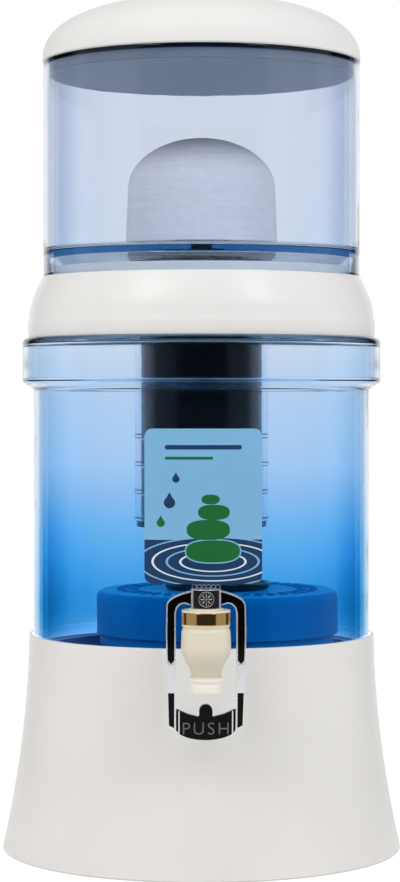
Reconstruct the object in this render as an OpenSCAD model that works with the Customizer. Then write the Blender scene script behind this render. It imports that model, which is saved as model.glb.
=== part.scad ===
// Countertop gravity water filter with a push tap.
// Raw water is poured into the upper tank, seeps through the ceramic dome, drips through the
// cartridge that hangs in the lower tank, and is drawn from the tap. The tanks lift apart by hand.
// Frame: +Z up, the tap on the -Y side, origin on the tanks' axis in the plane of the table.

/* [Stand] */
// Outer diameter of the stand where it meets the table
stand_foot_d = 261; // [248:1:280]
// Height of the stand
stand_h = 140.5; // [128:0.5:155]
// Thickness of the stand's skin
stand_wall = 2.6; // [2:0.1:4]
// How sharply the skirt flares towards its foot
flare_power = 1.8; // [1.5:0.1:2.4]
// How deep the lower tank sits in the stand
seat_depth = 13; // [10:0.5:18]
// Thickness of the deck that carries the lower tank
deck_t = 3; // [2.5:0.5:5]
// Diameter of the hole in the deck
deck_hole_d = 130; // [90:5:160]
// Number of ribs under the deck
deck_rib_n = 8; // [4:1:12]
// Depth of the ribs under the deck
deck_rib_h = 16; // [8:1:24]
// Thickness of the ribs under the deck
deck_rib_t = 2.4; // [1.6:0.2:4]
// Width of the flat rim that stands on the table
foot_w = 4.5; // [3.5:0.5:8]

/* [Lower tank] */
// Outer diameter of the lower tank below its collar
tank_d = 220; // [212:1:226]
// Wall of the lower tank
tank_wall = 3.5; // [2.5:0.1:4.5]
// Thickness of the lower tank's floor
tank_floor_t = 4; // [3:0.5:6]
// Height from the tank's foot to its shoulder
tank_h = 206.5; // [190:0.5:230]
// Outer diameter of the collar round the tank's mouth
collar_d = 235; // [231:1:240]
// Height of the collar, from its swell to the shoulder
collar_h = 33; // [26:1:42]
// Rounding of the collar's upper edge
collar_round = 6; // [3:0.5:8]
// Height of the neck that stands up inside the middle ring
neck_h = 7; // [4:0.5:9]
// Rounding at the tank's foot
tank_foot_round = 8; // [5:0.5:12]

/* [Middle ring] */
// Height of the white ring between the tanks
ring_h = 40; // [34:1:50]
// Widest diameter of the ring
ring_d = 228; // [226:0.5:230]
// Height of the upright band at the ring's foot
ring_band_h = 13; // [9:0.5:18]
// Wall of the ring
ring_wall = 2.6; // [2:0.1:3.2]
// Thickness of the web that carries the cartridge
web_t = 3; // [2:0.5:5]
// Height of the lip that centres the upper tank
ring_lip_h = 6; // [3:0.5:9]

/* [Upper tank] */
// Outer diameter of the upper tank
upper_d = 208; // [204:1:212]
// Wall of the upper tank
upper_wall = 3.5; // [2.5:0.1:4.5]
// Overall height of the upper tank, skirt included
upper_h = 140.5; // [120:0.5:160]
// Height of the skirt under the upper tank's floor
upper_skirt_h = 12; // [11:0.5:16]
// Thickness of the upper tank's floor
upper_floor_t = 4; // [3:0.5:6]

/* [Lid] */
// Height of the domed lid above the tank's rim
lid_h = 41.5; // [30:0.5:55]
// Thickness of the lid
lid_wall = 2.6; // [2:0.1:4]
// Exponent of the lid's superellipse: 2 is an ellipse, more is squarer
lid_power = 2.4; // [2:0.1:3]
// Depth of the lip inside the tank's mouth
lid_lip_h = 8.5; // [4:0.5:12]
// Thickness of that lip
lid_lip_t = 2.2; // [1.5:0.1:3]

/* [Ceramic dome] */
// Diameter of the ceramic prefilter at its foot
dome_d = 100; // [90:1:110]
// Height of the ceramic
dome_h = 69.5; // [60:0.5:80]
// Height of the ceramic's straight side, below its crown
dome_side_h = 36; // [25:1:45]
// Wall of the ceramic
dome_wall = 7; // [4:0.5:10]
// Narrowing of the straight side from foot to crown, on the radius
dome_taper = 1.6; // [0:0.1:3]
// Thickness of the plastic base under the ceramic
dome_base_t = 4; // [3:0.5:6]
// Thickness of the rubber washer under the base
dome_washer_t = 2; // [1:0.25:3]
// Diameter of the threaded stem under the base
stem_d = 14; // [12:0.5:18]
// Thickness of the wing nut's body
wing_nut_h = 7; // [5:0.5:7.5]

/* [Cartridge] */
// Outer diameter of the clear cartridge
cart_d = 87.5; // [80:0.5:94]
// Wall of the clear cartridge
cart_wall = 3.6; // [2:0.1:5]
// Length of the cartridge below the web's upper face
cart_len = 163.5; // [150:0.5:180]
// Length of the black cap's sleeve below the web's upper face
cart_cap_h = 19; // [14:0.5:24]
// Height of the cartridge's foot
cart_foot_h = 8; // [6:0.5:12]
// Number of lower stages, each below a raised ring
stage_n = 3; // [2:1:4]
// Height of each lower stage
stage_h = 18.2; // [14:0.2:22]
// Thickness of the felt pads between the stages
pad_t = 2; // [1:0.25:3]

/* [Mineral basket] */
// Outer diameter of the mineral basket
basket_d = 158.5; // [140:0.5:176]
// Height of the basket with its lid on
basket_h = 37.5; // [30:0.5:42]
// Wall of the basket
basket_wall = 2.2; // [1.6:0.1:3]
// How far off the tank's axis the loose basket stands
basket_off = 10.4; // [0:0.2:12]
// Number of slots in each ring of the basket's lid
slot_n = 40; // [24:1:48]
// Width of those slots
slot_w = 2.4; // [1.6:0.1:3]
// Diameter of the black dish on the lid
dish_d = 69; // [50:1:80]
// Height of the dish's rim above the lid
dish_h = 5; // [3.5:0.5:8]
// Diameter of the mineral stones
stone_d = 15; // [11:0.5:18]

/* [Label] */
// Width of the label, along the chord
label_w = 74; // [60:1:90]
// Height of the label
label_h = 95.5; // [80:0.5:110]
// Height of the label's lower edge above the table
label_z = 179.5; // [172:0.5:190]
// Rounding of the label's corners
label_round = 5; // [2:0.5:10]
// Thickness of the label
label_t = 0.4; // [0.2:0.05:0.8]

/* [Tap body] */
// Outer diameter of the threaded shank
shank_d = 16; // [14:0.5:18]
// Bore of the shank
shank_bore_d = 10; // [7:0.5:11]
// Diameter of the shank's flange
flange_d = 26; // [24:0.5:26.5]
// Diameter of the flat pad on the tank
tap_pad_d = 27; // [27:0.5:30]
// Length of the shank between the flange and the valve's axis
shank_reach = 36; // [32:0.5:42]
// Widest diameter of the bell-shaped valve body
bell_d = 30; // [28:0.5:32]
// Diameter of the spout
spout_d = 18; // [15:0.5:20]
// Bore of the spout
spout_bore_d = 11.2; // [8:0.2:12.4]
// Distance from the shank's axis down to the spout's end
spout_drop = 36.5; // [33:0.5:42]
// Diameter of the plain neck between the flange and the body
neck_d = 13; // [11:0.5:14]
// Height of the gilt band round the bonnet
band_h = 7.4; // [6:0.1:9]
// Diameter of the gilt band
band_d = 29.8; // [29.4:0.1:31]

/* [Tap lever] */
// Width of the lever over its arms
lever_w = 47.4; // [46.4:0.2:52]
// Thickness of the lever
lever_t = 5; // [4:0.25:6]
// Width of each arm of the lever
arm_w = 5.6; // [5:0.1:6]
// Distance from the shank's axis down to the lever's lowest point
lever_drop = 66.2; // [60:0.2:72]
// How far the lever's lower end leans back towards the tank
lever_lean = 13; // [8:0.5:15]
// Diameter of the round head on the lever
head_d = 18; // [16.5:0.25:19]
// Height of the crown on the head
crown_h = 3.9; // [3:0.1:5]
// Number of loops in the crown
crown_n = 14; // [10:1:16]
// Depth of the black inlays
inlay_t = 0.6; // [0.4:0.1:1]
// Diameter of the lever's pivot pin
pin_d = 2.4; // [2:0.1:3]

/* [Hidden] */

$fn = 96;
arc_n = 7;            // steps in a rounded corner of a profile
curve_n = 14;         // steps in a long curve of a profile
run_gap = 0.3;        // gap between curved faces of pieces that move apart
seat_gap = 0.1;       // gap between curved faces of pieces that stay together
edge_round = 1;       // rounding of thin rims

// Heights above the table
deck_z = stand_h - seat_depth;
deck_under = deck_z - deck_t;
tank_floor_z = deck_z + tank_floor_t;
shoulder_z = deck_z + tank_h;
web_z = shoulder_z + ring_h;
upper_floor_z = web_z + upper_skirt_h + upper_floor_t;
upper_rim_z = web_z + upper_h;
dome_base_z = upper_floor_z + dome_washer_t;
dome_z = dome_base_z + dome_base_t;
basket_z = tank_floor_z;
basket_top_z = basket_z + basket_h;
tap_z = stand_h + 0.5 + tap_pad_d / 2;

// Radii of the shells
stand_top_r = tank_d / 2 + 0.5 + stand_wall;
stand_foot_r = stand_foot_d / 2;
tank_r = tank_d / 2;
tank_in_r = tank_r - tank_wall;
collar_r = collar_d / 2;
ring_r = ring_d / 2;
ring_in_r = ring_r - 0.6 - ring_wall;
neck_r = ring_in_r - run_gap - 0.1;
neck_wall = min(tank_wall, 3);
upper_r = upper_d / 2;
upper_in_r = upper_r - upper_wall;
lid_r = upper_r + 0.5;
cart_r = cart_d / 2;
cart_in_r = cart_r - cart_wall;
cart_hole_r = cart_r + 1;
cart_flange_r = cart_hole_r + 4;
basket_r = basket_d / 2;
dish_r = dish_d / 2;

// The tap, measured from the crossing of its shank's axis and its valve's axis
pad_face = tank_r + 1;
pad_back = tank_in_r - 1.2;
washer_t = 2;
flange_t = 3;
tap_reach = pad_face + washer_t + flange_t + shank_reach;
pad_rel = tap_reach - pad_face;
nut_t = 7;
shank_end = tap_reach - (pad_back - washer_t - nut_t - 3);
bell_r = bell_d / 2;
chamber_r = bell_r - 4.4;
body_neck_r = chamber_r + 1.5;
spout_r = spout_d / 2;
band_z = 4.9;
band_top = band_z + band_h;
band_r = band_d / 2;
cap_skirt_r = body_neck_r + seat_gap + 1.3;
cap_t = 1.2;
cap_top = band_top + cap_t;
bonnet_seat = band_top - 1.3;
boss_top = cap_top + 1;
seat_z = -12.5;
seat_r = 5.2;
cone_top = -8;
rod_r = 2.5;
pin_z = 19;
pin_r = pin_d / 2;
head_r = head_d / 2;
head_low = boss_top + run_gap;
head_top = head_low + 11;
arm_in = lever_w / 2 - arm_w;
shoulder_h = head_top - 6.7;
bend_z = -3;
plate_in = arm_in - seat_gap;

// ---- Curves --------------------------------------------------------------------------------

function arc(c, r, from, to, n = arc_n) =
    [for (i = [0:n]) let (a = from + (to - from) * i / n) [c[0] + r * cos(a), c[1] + r * sin(a)]];

// Smooth step from p to q whose ends are upright
function swell(p, q, n = arc_n) =
    [for (i = [0:n]) let (t = i / n) [p[0] + (q[0] - p[0]) * (1 - cos(180 * t)) / 2,
                                      p[1] + (q[1] - p[1]) * t]];

// Quarter of a superellipse, from its foot at radius r to its crown at height h
function crown_curve(r, h, power, n = curve_n) =
    [for (i = [0:n]) let (a = 90 * i / n) [r * pow(cos(a), 2 / power), h * pow(sin(a), 2 / power)]];

function raised(points, z) = [for (p = points) [p[0], p[1] + z]];
function reversed(points) = [for (i = [len(points) - 1:-1:0]) points[i]];
function mirrored(points) = [for (p = reversed(points)) [-p[0], p[1]]];

// ---- Shared shapes -------------------------------------------------------------------------

module turned(points) rotate_extrude() polygon(points);

module tube(r_out, r_in, h) difference() {
    cylinder(r = r_out, h = h);
    translate([0, 0, -1]) cylinder(r = r_in, h = h + 2);
}

// Puts its children in the tap's own frame: origin where the shank meets the valve
module at_tap() translate([0, -tap_reach, tap_z]) children();

// A cylinder along +Y from y to y + h
module rod_y(r, y, h) translate([0, y, 0]) rotate([-90, 0, 0]) cylinder(r = r, h = h);

module rod_x(r, h, z = 0) translate([0, 0, z]) rotate([0, 90, 0]) cylinder(r = r, h = h, center = true);

// ---- Stand ---------------------------------------------------------------------------------

function flare(z) = stand_top_r + (stand_foot_r - stand_top_r) * pow(1 - z / stand_h, flare_power);
function flare_line(z0, z1, inset, n = curve_n) =
    [for (i = [0:n]) let (z = z0 + (z1 - z0) * i / n) [flare(z) - inset, z]];

module stand() color("whitesmoke") {
    foot_h = 3;
    turned(concat(
        [[flare(0) - foot_w, 0], [flare(0) - 1, 0]],
        flare_line(1, stand_h - edge_round, 0),
        [[stand_top_r - edge_round, stand_h], [stand_top_r - stand_wall, stand_h],
         [stand_top_r - stand_wall, deck_z]],
        flare_line(deck_under, foot_h, stand_wall),
        [[flare(0) - foot_w, foot_h]]
    ));
}

module stand_deck() color("whitesmoke") turned([
    [deck_hole_d / 2, deck_under], [flare(deck_under) - stand_wall, deck_under],
    [stand_top_r - stand_wall, deck_z], [deck_hole_d / 2, deck_z]
]);

// Each rib follows the skirt's slope at its outer end and is bevelled at the hole
module deck_ribs() color("whitesmoke") {
    rib_in = deck_hole_d / 2 + 6;
    low = deck_under - deck_rib_h;
    for (i = [0:deck_rib_n - 1]) rotate([0, 0, (i + 0.5) * 360 / deck_rib_n])
        translate([0, deck_rib_t / 2, 0]) rotate([90, 0, 0]) linear_extrude(deck_rib_t) polygon([
            [rib_in, deck_under], [rib_in, low + deck_rib_h * 0.7], [rib_in + deck_rib_h * 0.3, low],
            [flare(low) - stand_wall - seat_gap, low],
            [flare(deck_under) - stand_wall - seat_gap, deck_under]
        ]);
}

// ---- Lower tank ----------------------------------------------------------------------------

module lower_tank() color("cornflowerblue", 0.5) translate([0, 0, deck_z]) difference() {
    union() {
        turned(concat(
            [[0, 1.2], [tank_r - 22, 1.2], [tank_r - 20, 0]],
            arc([tank_r - tank_foot_round, tank_foot_round], tank_foot_round, -90, 0),
            [[tank_r, tank_h - collar_h], [tank_in_r, tank_h - collar_h]],
            reversed(arc([tank_in_r - tank_foot_round + 2, tank_floor_t + tank_foot_round - 2],
                         tank_foot_round - 2, -90, 0)),
            [[0, tank_floor_t]]
        ));
        translate([0, 0, tap_z - deck_z]) rod_y(tap_pad_d / 2, -pad_face, pad_face - pad_back);
    }
    translate([0, 0, tap_z - deck_z]) rod_y(shank_d / 2 + run_gap, -pad_face - 1, 12);
}

// The collar and the neck stand on the wall's upper edge and carry the middle ring
module tank_collar() color("cornflowerblue", 0.5) translate([0, 0, deck_z]) {
    swell_z = tank_h - collar_h;
    collar_in_r = collar_r - tank_wall;
    neck_in_r = neck_r - neck_wall;
    lip_z = tank_h - collar_round - 1;
    turned(concat(
        swell([tank_r, swell_z], [collar_r, swell_z + 9]),
        arc([collar_r - collar_round, tank_h - collar_round], collar_round, 0, 90),
        [[neck_r, tank_h], [neck_r, tank_h + neck_h - edge_round],
         [neck_r - edge_round, tank_h + neck_h], [neck_in_r, tank_h + neck_h]],
        reversed(swell([collar_in_r, lip_z], [neck_in_r, tank_h - 0.5])),
        reversed(swell([tank_in_r, swell_z + 1.5], [collar_in_r, swell_z + 10.5])),
        [[tank_in_r, swell_z]]
    ));
}

module front_label() color("skyblue") intersection() {
    translate([0, 0, label_z]) tube(tank_r + seat_gap + label_t, tank_r + seat_gap, label_h);
    in_x = label_w / 2 - label_round;
    translate([0, 0, label_z]) rotate([90, 0, 0]) linear_extrude(tank_r + 5) polygon(concat(
        arc([-in_x, label_round], label_round, 180, 270),
        arc([in_x, label_round], label_round, 270, 360),
        arc([in_x, label_h - label_round], label_round, 0, 90),
        arc([-in_x, label_h - label_round], label_round, 90, 180)
    ));
}

// ---- Middle ring ---------------------------------------------------------------------------

// The shoulder curves in from the upright band to the upper tank's own width
function shoulder(inset) = [for (i = [0:curve_n]) let (t = i / curve_n)
    [upper_r + (ring_r - 1 - upper_r) * cos(90 * t) - inset, ring_band_h + (ring_h - ring_band_h) * t]];

module middle_ring() color("whitesmoke") translate([0, 0, shoulder_z]) {
    lip_r = upper_in_r - run_gap;
    inner = [for (p = shoulder(ring_wall)) if (p[1] < ring_h - web_t) p];
    turned(concat(
        [[ring_in_r, 0], [ring_r - 0.6, 0], [ring_r, 5], [ring_r, ring_band_h - 4]],
        shoulder(0),
        [[lip_r, ring_h], [lip_r, ring_h + ring_lip_h], [lip_r - 2.4, ring_h + ring_lip_h],
         [lip_r - 2.4, ring_h], [cart_hole_r, ring_h], [cart_hole_r, ring_h - web_t],
         [inner[len(inner) - 1][0], ring_h - web_t]],
        reversed(inner),
        [[ring_in_r, ring_band_h - 3]]
    ));
}

// ---- Upper tank and lid --------------------------------------------------------------------

module upper_tank() color("lightsteelblue", 0.5) translate([0, 0, web_z]) {
    floor_top = upper_skirt_h + upper_floor_t;
    hole_r = stem_d / 2 + 0.5;
    turned(concat(
        [[upper_in_r, 0], [upper_r - 0.6, 0], [upper_r, 1.5]],
        arc([upper_r - edge_round, upper_h - edge_round], edge_round, 0, 90, 3),
        [[upper_in_r, upper_h]],
        reversed(arc([upper_in_r - 3, floor_top + 3], 3, -90, 0)),
        [[hole_r, floor_top], [hole_r, upper_skirt_h], [upper_in_r, upper_skirt_h]]
    ));
}

module lid() color("whitesmoke") translate([0, 0, upper_rim_z]) {
    lip_r = upper_in_r - run_gap;
    lip_in = lip_r - lid_lip_t;
    under = [for (p = crown_curve(lid_r - lid_wall, lid_h - lid_wall, lid_power)) if (p[0] < lip_in) p];
    turned(concat(
        [[lid_r - 0.8, 0]],
        raised(crown_curve(lid_r, lid_h - 1, lid_power), 1),
        reversed(under),
        [[lip_in, under[0][1] - 3], [lip_in, -lid_lip_h], [lip_r, -lid_lip_h], [lip_r, 0]]
    ));
}

// ---- Ceramic dome --------------------------------------------------------------------------

function dome_line(inset) = concat(
    [[dome_d / 2 - inset, 0], [dome_d / 2 - dome_taper - inset, dome_side_h]],
    raised(crown_curve(dome_d / 2 - dome_taper - inset, dome_h - dome_side_h - inset, 2), dome_side_h)
);

module ceramic_dome() color("white") translate([0, 0, dome_z])
    turned(concat(dome_line(0), reversed(dome_line(dome_wall))));

module dome_base() color("white") translate([0, 0, dome_base_z]) difference() {
    union() {
        cylinder(r = dome_d / 2 + 0.3, h = dome_base_t);
        cylinder(r = dome_in_r(dome_seat_h) - seat_gap, h = dome_base_t + dome_seat_h);
        translate([0, 0, -stem_len()]) cylinder(r = stem_d / 2, h = stem_len() + 1);
    }
    translate([0, 0, -stem_len() - 1]) cylinder(r = stem_d / 2 - 3, h = stem_len() + dome_base_t + 2);
    translate([0, 0, dome_base_t]) cylinder(r = dome_in_r(dome_seat_h) - seat_gap - dome_rim_t, h = dome_seat_h + 1);
}

// The rim that centres the dome stands inside its tapered wall
dome_seat_h = 5;
dome_rim_t = 2.9;
function dome_in_r(h) = dome_d / 2 - dome_wall - dome_taper * h / dome_side_h;

// The stem reaches through the washer, the floor and the wing nut into the cartridge's cap
function stem_len() = dome_washer_t + upper_floor_t + upper_skirt_h + 2;

module dome_washer() color("dimgray") translate([0, 0, upper_floor_z])
    tube(stem_d / 2 + 11, stem_d / 2 + seat_gap, dome_washer_t);

module wing_nut() color("white") {
    top = web_z + upper_skirt_h;
    translate([0, 0, top - wing_nut_h]) difference() {
        union() {
            cylinder(r = stem_d / 2 + 4, h = wing_nut_h);
            for (a = [0, 180]) rotate([0, 0, a]) translate([stem_d / 2 + 2, -1.5, 0])
                cube([11, 3, wing_nut_h]);
        }
        translate([0, 0, -1]) cylinder(r = stem_d / 2 + seat_gap, h = wing_nut_h + 2);
    }
}

// ---- Cartridge -----------------------------------------------------------------------------

cart_low_z = web_z - cart_len;
stages_z = cart_low_z + cart_foot_h / 2 + stage_n * stage_h;
cap_low_z = web_z - cart_cap_h;
cap_flange_t = 3;
gasket_t = 1;

module cartridge_cap() color("black") {
    sleeve_in = cart_in_r - seat_gap;
    translate([0, 0, cap_low_z]) difference() {
        union() {
            cylinder(r = cart_r, h = cart_cap_h + gasket_t + cap_flange_t);
            translate([0, 0, cart_cap_h + gasket_t]) cylinder(r = cart_flange_r, h = cap_flange_t);
            translate([0, 0, -5]) cylinder(r = sleeve_in, h = 6);
        }
        translate([0, 0, -6]) cylinder(r = sleeve_in - 3, h = cart_cap_h + 3);
        translate([0, 0, -1]) cylinder(r = stem_d / 2 + 1, h = cart_cap_h + 20);
        for (i = [0:7]) rotate([0, 0, i * 45]) translate([cart_in_r * 0.6, 0, -1])
            cylinder(r = 3, h = cart_cap_h + 20);
    }
}

module cartridge_gasket() color("dimgray") translate([0, 0, web_z])
    tube(cart_flange_r, cart_r + seat_gap, gasket_t);

module cartridge_shell() color("aliceblue", 0.4) {
    low = cart_low_z + cart_foot_h / 2;
    ring_h = 1.6;
    rings = [for (i = [0:stage_n]) low + i * stage_h];
    turned(concat(
        [[cart_in_r, low]],
        [for (z = rings) for (p = [[cart_r + 0.6, z], [cart_r + 0.6, z + ring_h], [cart_r, z + ring_h + 0.6],
                                   [cart_r, z + stage_h - 0.6]])
            if (p[1] < stages_z + 3) p],
        [[cart_r, cap_low_z], [cart_in_r, cap_low_z]]
    ));
}

module cartridge_foot() color("midnightblue") translate([0, 0, cart_low_z]) difference() {
    union() {
        cylinder(r = cart_r - 1, h = cart_foot_h / 2);
        cylinder(r = cart_in_r - seat_gap, h = cart_foot_h);
    }
    translate([0, 0, 2]) cylinder(r = cart_in_r - 3, h = cart_foot_h);
    for (ring = [[12, 6], [24, 12], [34, 18]], i = [0:ring[1] - 1])
        rotate([0, 0, i * 360 / ring[1]]) translate([ring[0] * cart_in_r / 40.15, 0, -1]) cylinder(r = 1.6, h = 4);
}

bed_r = cart_in_r - 0.4;
bed_low = cart_low_z + cart_foot_h;

// One layer of media between two heights
module bed(z0, z1) translate([0, 0, z0]) cylinder(r = bed_r, h = z1 - z0);

function stage_top(i) = i == 0 ? bed_low : cart_low_z + cart_foot_h / 2 + i * stage_h;

module felt_pads() color("ivory") for (i = [1:stage_n]) bed(stage_top(i) - pad_t, stage_top(i));

module mineral_bed() color("saddlebrown") bed(bed_low, stage_top(1) - pad_t);
module zeolite_bed() color("tan") bed(stage_top(1), stage_top(2) - pad_t);
module sand_bed() color("linen")
    for (i = [2:max(2, stage_n - 1)]) bed(stage_top(i), i < stage_n ? stage_top(i + 1) - pad_t : stage_top(i) + 4);

module carbon_bed() color("black")
    bed(stage_top(stage_n) + (stage_n < 3 ? 4 : 0), cap_low_z - 5.3);

// ---- Mineral basket ------------------------------------------------------------------------

basket_skirt_h = 28;        // how far the lid reaches down over the body
basket_lid_t = 2.2;
foot_slot_l = 9;
lid_slot_l = 5;

module at_basket() translate([basket_off, 0, basket_z]) children();

module basket_body() color("dodgerblue") at_basket() {
    side_top = basket_h - basket_lid_t - 1.5 - seat_gap;
    in_r = basket_r - basket_wall - seat_gap;
    difference() {
        turned(concat(
            [[0, 0], [in_r - 3, 0], [in_r, 3], [in_r, side_top], [in_r - basket_wall, side_top],
             [in_r - basket_wall, 3 + basket_wall], [in_r - 3 - basket_wall, basket_wall], [0, basket_wall]]
        ));
        for (i = [0:23]) rotate([0, 0, i * 15]) translate([basket_r * 0.72, -slot_w / 2, -1])
            cube([foot_slot_l, slot_w, 5]);
    }
}

module basket_lid() color("dodgerblue") at_basket() difference() {
    turned(concat(
        [[basket_r - basket_wall, basket_h - basket_skirt_h], [basket_r, basket_h - basket_skirt_h]],
        arc([basket_r - 5, basket_h - 5], 5, 0, 90),
        [[0, basket_h], [0, basket_h - basket_lid_t],
         [basket_r - basket_wall - 1.5, basket_h - basket_lid_t],
         [basket_r - basket_wall, basket_h - basket_lid_t - 1.5]]
    ));
    for (ring = [0, 1], i = [0:slot_n - 1])
        rotate([0, 0, (i + ring / 2) * 360 / slot_n])
            translate([basket_r * (0.674 + 0.095 * ring), -slot_w / 2, basket_h - 4])
                cube([lid_slot_l, slot_w, 6]);
}

module basket_dish() color("black") translate([0, 0, basket_h]) at_basket() turned(concat(
    [[0, 0], [dish_r - 3, 0]],
    arc([dish_r - 3, dish_h - 1.5 - 0.5], dish_h - 2, -90, 0),
    arc([dish_r + dish_h - 5.9, dish_h - 0.9], 0.9, 0, 180, 5),
    [[dish_r - 4, 1.8], [0, 1.8]]
));

// Two rings of pebbles on the basket's floor
module mineral_stones() color("darkkhaki") at_basket() {
    rest_z = basket_wall + stone_d / 2 + 0.05;
    ring_r = [basket_r * 0.26, basket_r * 0.52, basket_r * 0.78];
    for (k = [0:2]) {
        n = floor(PI * ring_r[k] * 2 / (stone_d + 2));
        for (i = [0:n - 1]) rotate([0, 0, (i + k / 3) * 360 / n]) translate([ring_r[k], 0, rest_z])
            sphere(r = stone_d / 2, $fn = 32);
    }
    translate([0, 0, rest_z]) sphere(r = stone_d / 2, $fn = 32);
}

// ---- Tap body and valve --------------------------------------------------------------------

module tap_body() color("ivory") at_tap() {
    low = -spout_drop;
    bell_low = low + 10.2;
    difference() {
        union() {
            turned(concat(
                [[0, low], [spout_r - 0.1, low], [spout_r + 0.6, low + 1.2], [spout_r + 0.6, low + 4.5],
                 [spout_r - 0.2, low + 5.5], [spout_r - 0.2, low + 7], [spout_r + 0.9, low + 7.6],
                 [spout_r + 0.9, low + 9.4]],
                swell([spout_r, bell_low], [bell_r, -9]),
                [[bell_r, -7], [bell_r - 0.3, 0.8], [bell_r - 1.2, band_z - 2.1], [bell_r - 1.2, band_z - 1.5],
                 [bell_r - 0.5, band_z - 1.4], [bell_r - 0.5, band_z], [body_neck_r, band_z],
                 [body_neck_r, bonnet_seat], [0, bonnet_seat]]
            ));
            difference() {
                rod_y(neck_d / 2, 0, shank_reach + 1);
                translate([0, 0, band_z - run_gap]) cylinder(r = band_r + run_gap, h = neck_d);
            }
            rod_y(shank_d / 2, shank_reach, shank_end - shank_reach);
            rod_y(flange_d / 2, shank_reach, flange_t);
        }
        turned([[0, cone_top], [0, seat_z], [seat_r, seat_z], [chamber_r, cone_top],
                [chamber_r, bonnet_seat + 1], [0, bonnet_seat + 1]]);
        translate([0, 0, seat_z - 3]) cylinder(r = seat_r, h = 4);
        translate([0, 0, low - 1]) cylinder(r = spout_bore_d / 2, h = seat_z - 2 - low + 1);
        rod_y(shank_bore_d / 2, 5, shank_end);
    }
}

// A flat washer on the shank, from y
module shank_washer(y) rotate([-90, 0, 0]) translate([0, 0, y])
    tube(flange_d / 2, shank_d / 2 + seat_gap, washer_t);

module tap_outer_washer() color("gainsboro") at_tap() shank_washer(shank_reach + flange_t);
module tap_inner_washer() color("gainsboro") at_tap() shank_washer(tap_reach - pad_back);

module tap_nut() color("white") at_tap() translate([0, tap_reach - pad_back + washer_t, 0])
    rotate([-90, 0, 0]) difference() {
        cylinder(r = flange_d / 2 + 1, h = nut_t, $fn = 6);
        translate([0, 0, -1]) cylinder(r = shank_d / 2 + seat_gap, h = nut_t + 2);
    }

// The screw cap of the valve: a plug in the body's mouth, a skirt round its neck, a boss on top
module bonnet() color("ivory") at_tap() turned([
    [rod_r + run_gap, bonnet_seat - 2.5], [chamber_r - seat_gap, bonnet_seat - 2.5],
    [chamber_r - seat_gap, bonnet_seat], [body_neck_r + seat_gap, bonnet_seat],
    [body_neck_r + seat_gap, band_z], [cap_skirt_r, band_z], [cap_skirt_r, band_top],
    [band_r - 0.2, band_top], [band_r - 0.2, cap_top - 0.3], [band_r - 0.5, cap_top],
    [chamber_r, cap_top], [chamber_r - 0.8, boss_top], [rod_r + run_gap, boss_top]
]);

module gilt_band() color("goldenrod") at_tap() turned([
    [cap_skirt_r + seat_gap, band_z], [band_r - 0.3, band_z], [band_r, band_z + 0.3],
    [band_r, band_top - 0.3], [band_r - 0.3, band_top], [cap_skirt_r + seat_gap, band_top]
]);

piston_z = -6;
piston_t = 1.4;

module valve_stem() color("silver") at_tap() difference() {
    union() {
        translate([0, 0, piston_z - 2]) cylinder(r = rod_r, h = pin_z - piston_z + 2);
        translate([0, 0, piston_z]) cylinder(r = 6, h = piston_t);
        rod_x(pin_r + 2, 6, pin_z);
    }
    rod_x(pin_r + 0.05, 8, pin_z);
}

// Height of the body's cone at radius r, plus the clearance under the closed cup
function on_cone(r) = seat_z + (cone_top - seat_z) / (chamber_r - seat_r) * (r - seat_r) + run_gap * 1.3;

// The rubber cup closes on the cone of the body
module valve_seal() color("dimgray") at_tap() {
    cup_r = 8;
    turned([[0, on_cone(seat_r)], [seat_r, on_cone(seat_r)], [cup_r, on_cone(cup_r)],
            [cup_r, piston_z - 1.6], [cup_r - 1.5, piston_z], [rod_r + seat_gap, piston_z],
            [rod_r + seat_gap, piston_z - 2], [0, piston_z - 2]]);
}

// A round wire wound between the piston and the bonnet
module valve_spring() color("silver") at_tap() {
    wire_r = 0.45;
    coil_r = 4.6;
    turns = 5;
    steps = 16;
    sides = 6;
    low = piston_z + piston_t + wire_r + 0.15;
    high = bonnet_seat - 2.5 - wire_r - 0.15;
    count = turns * steps;
    polyhedron(
        [for (i = [0:count], k = [0:sides - 1])
            let (a = 360 * i / steps, b = 360 * k / sides, r = coil_r + wire_r * cos(b))
            [r * cos(a), r * sin(a), low + (high - low) * i / count + wire_r * sin(b)]],
        concat(
            [[for (k = [0:sides - 1]) k]],
            [for (i = [0:count - 1], k = [0:sides - 1]) let (a = i * sides + k, b = i * sides + (k + 1) % sides)
                [a, a + sides, b + sides, b]],
            [[for (k = [sides - 1:-1:0]) count * sides + k]]
        )
    );
}

// ---- Lever ---------------------------------------------------------------------------------

// How far the lever leans back at height z
function lean(z) = z > bend_z ? 0 : lever_lean * pow((bend_z - z) / (bend_z + lever_drop), 1.6);

// A slab that follows the lever's lean, from depth a to depth b behind its front face
module lever_slab(a, b) {
    heights = concat([head_top + 1], [for (i = [0:8]) bend_z - (lever_drop + 1 + bend_z) * i / 8]);
    front = [for (z = heights) [lean(z) - lever_t / 2 + a, z]];
    back = [for (z = heights) [lean(z) - lever_t / 2 + b, z]];
    rotate([90, 0, 90]) linear_extrude(lever_w + 10, center = true) polygon(concat(front, reversed(back)));
}

// A face of the lever, drawn in x and z, cut to the slab between two depths
module lever_face(a, b) intersection() {
    rotate([90, 0, 0]) linear_extrude(2 * (lever_lean + 12), center = true) children();
    lever_slab(a, b);
}

arm_out = lever_w / 2;
arm_low = -lever_drop + 7.3;
plate_side = -lever_drop + 19.6;

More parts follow.
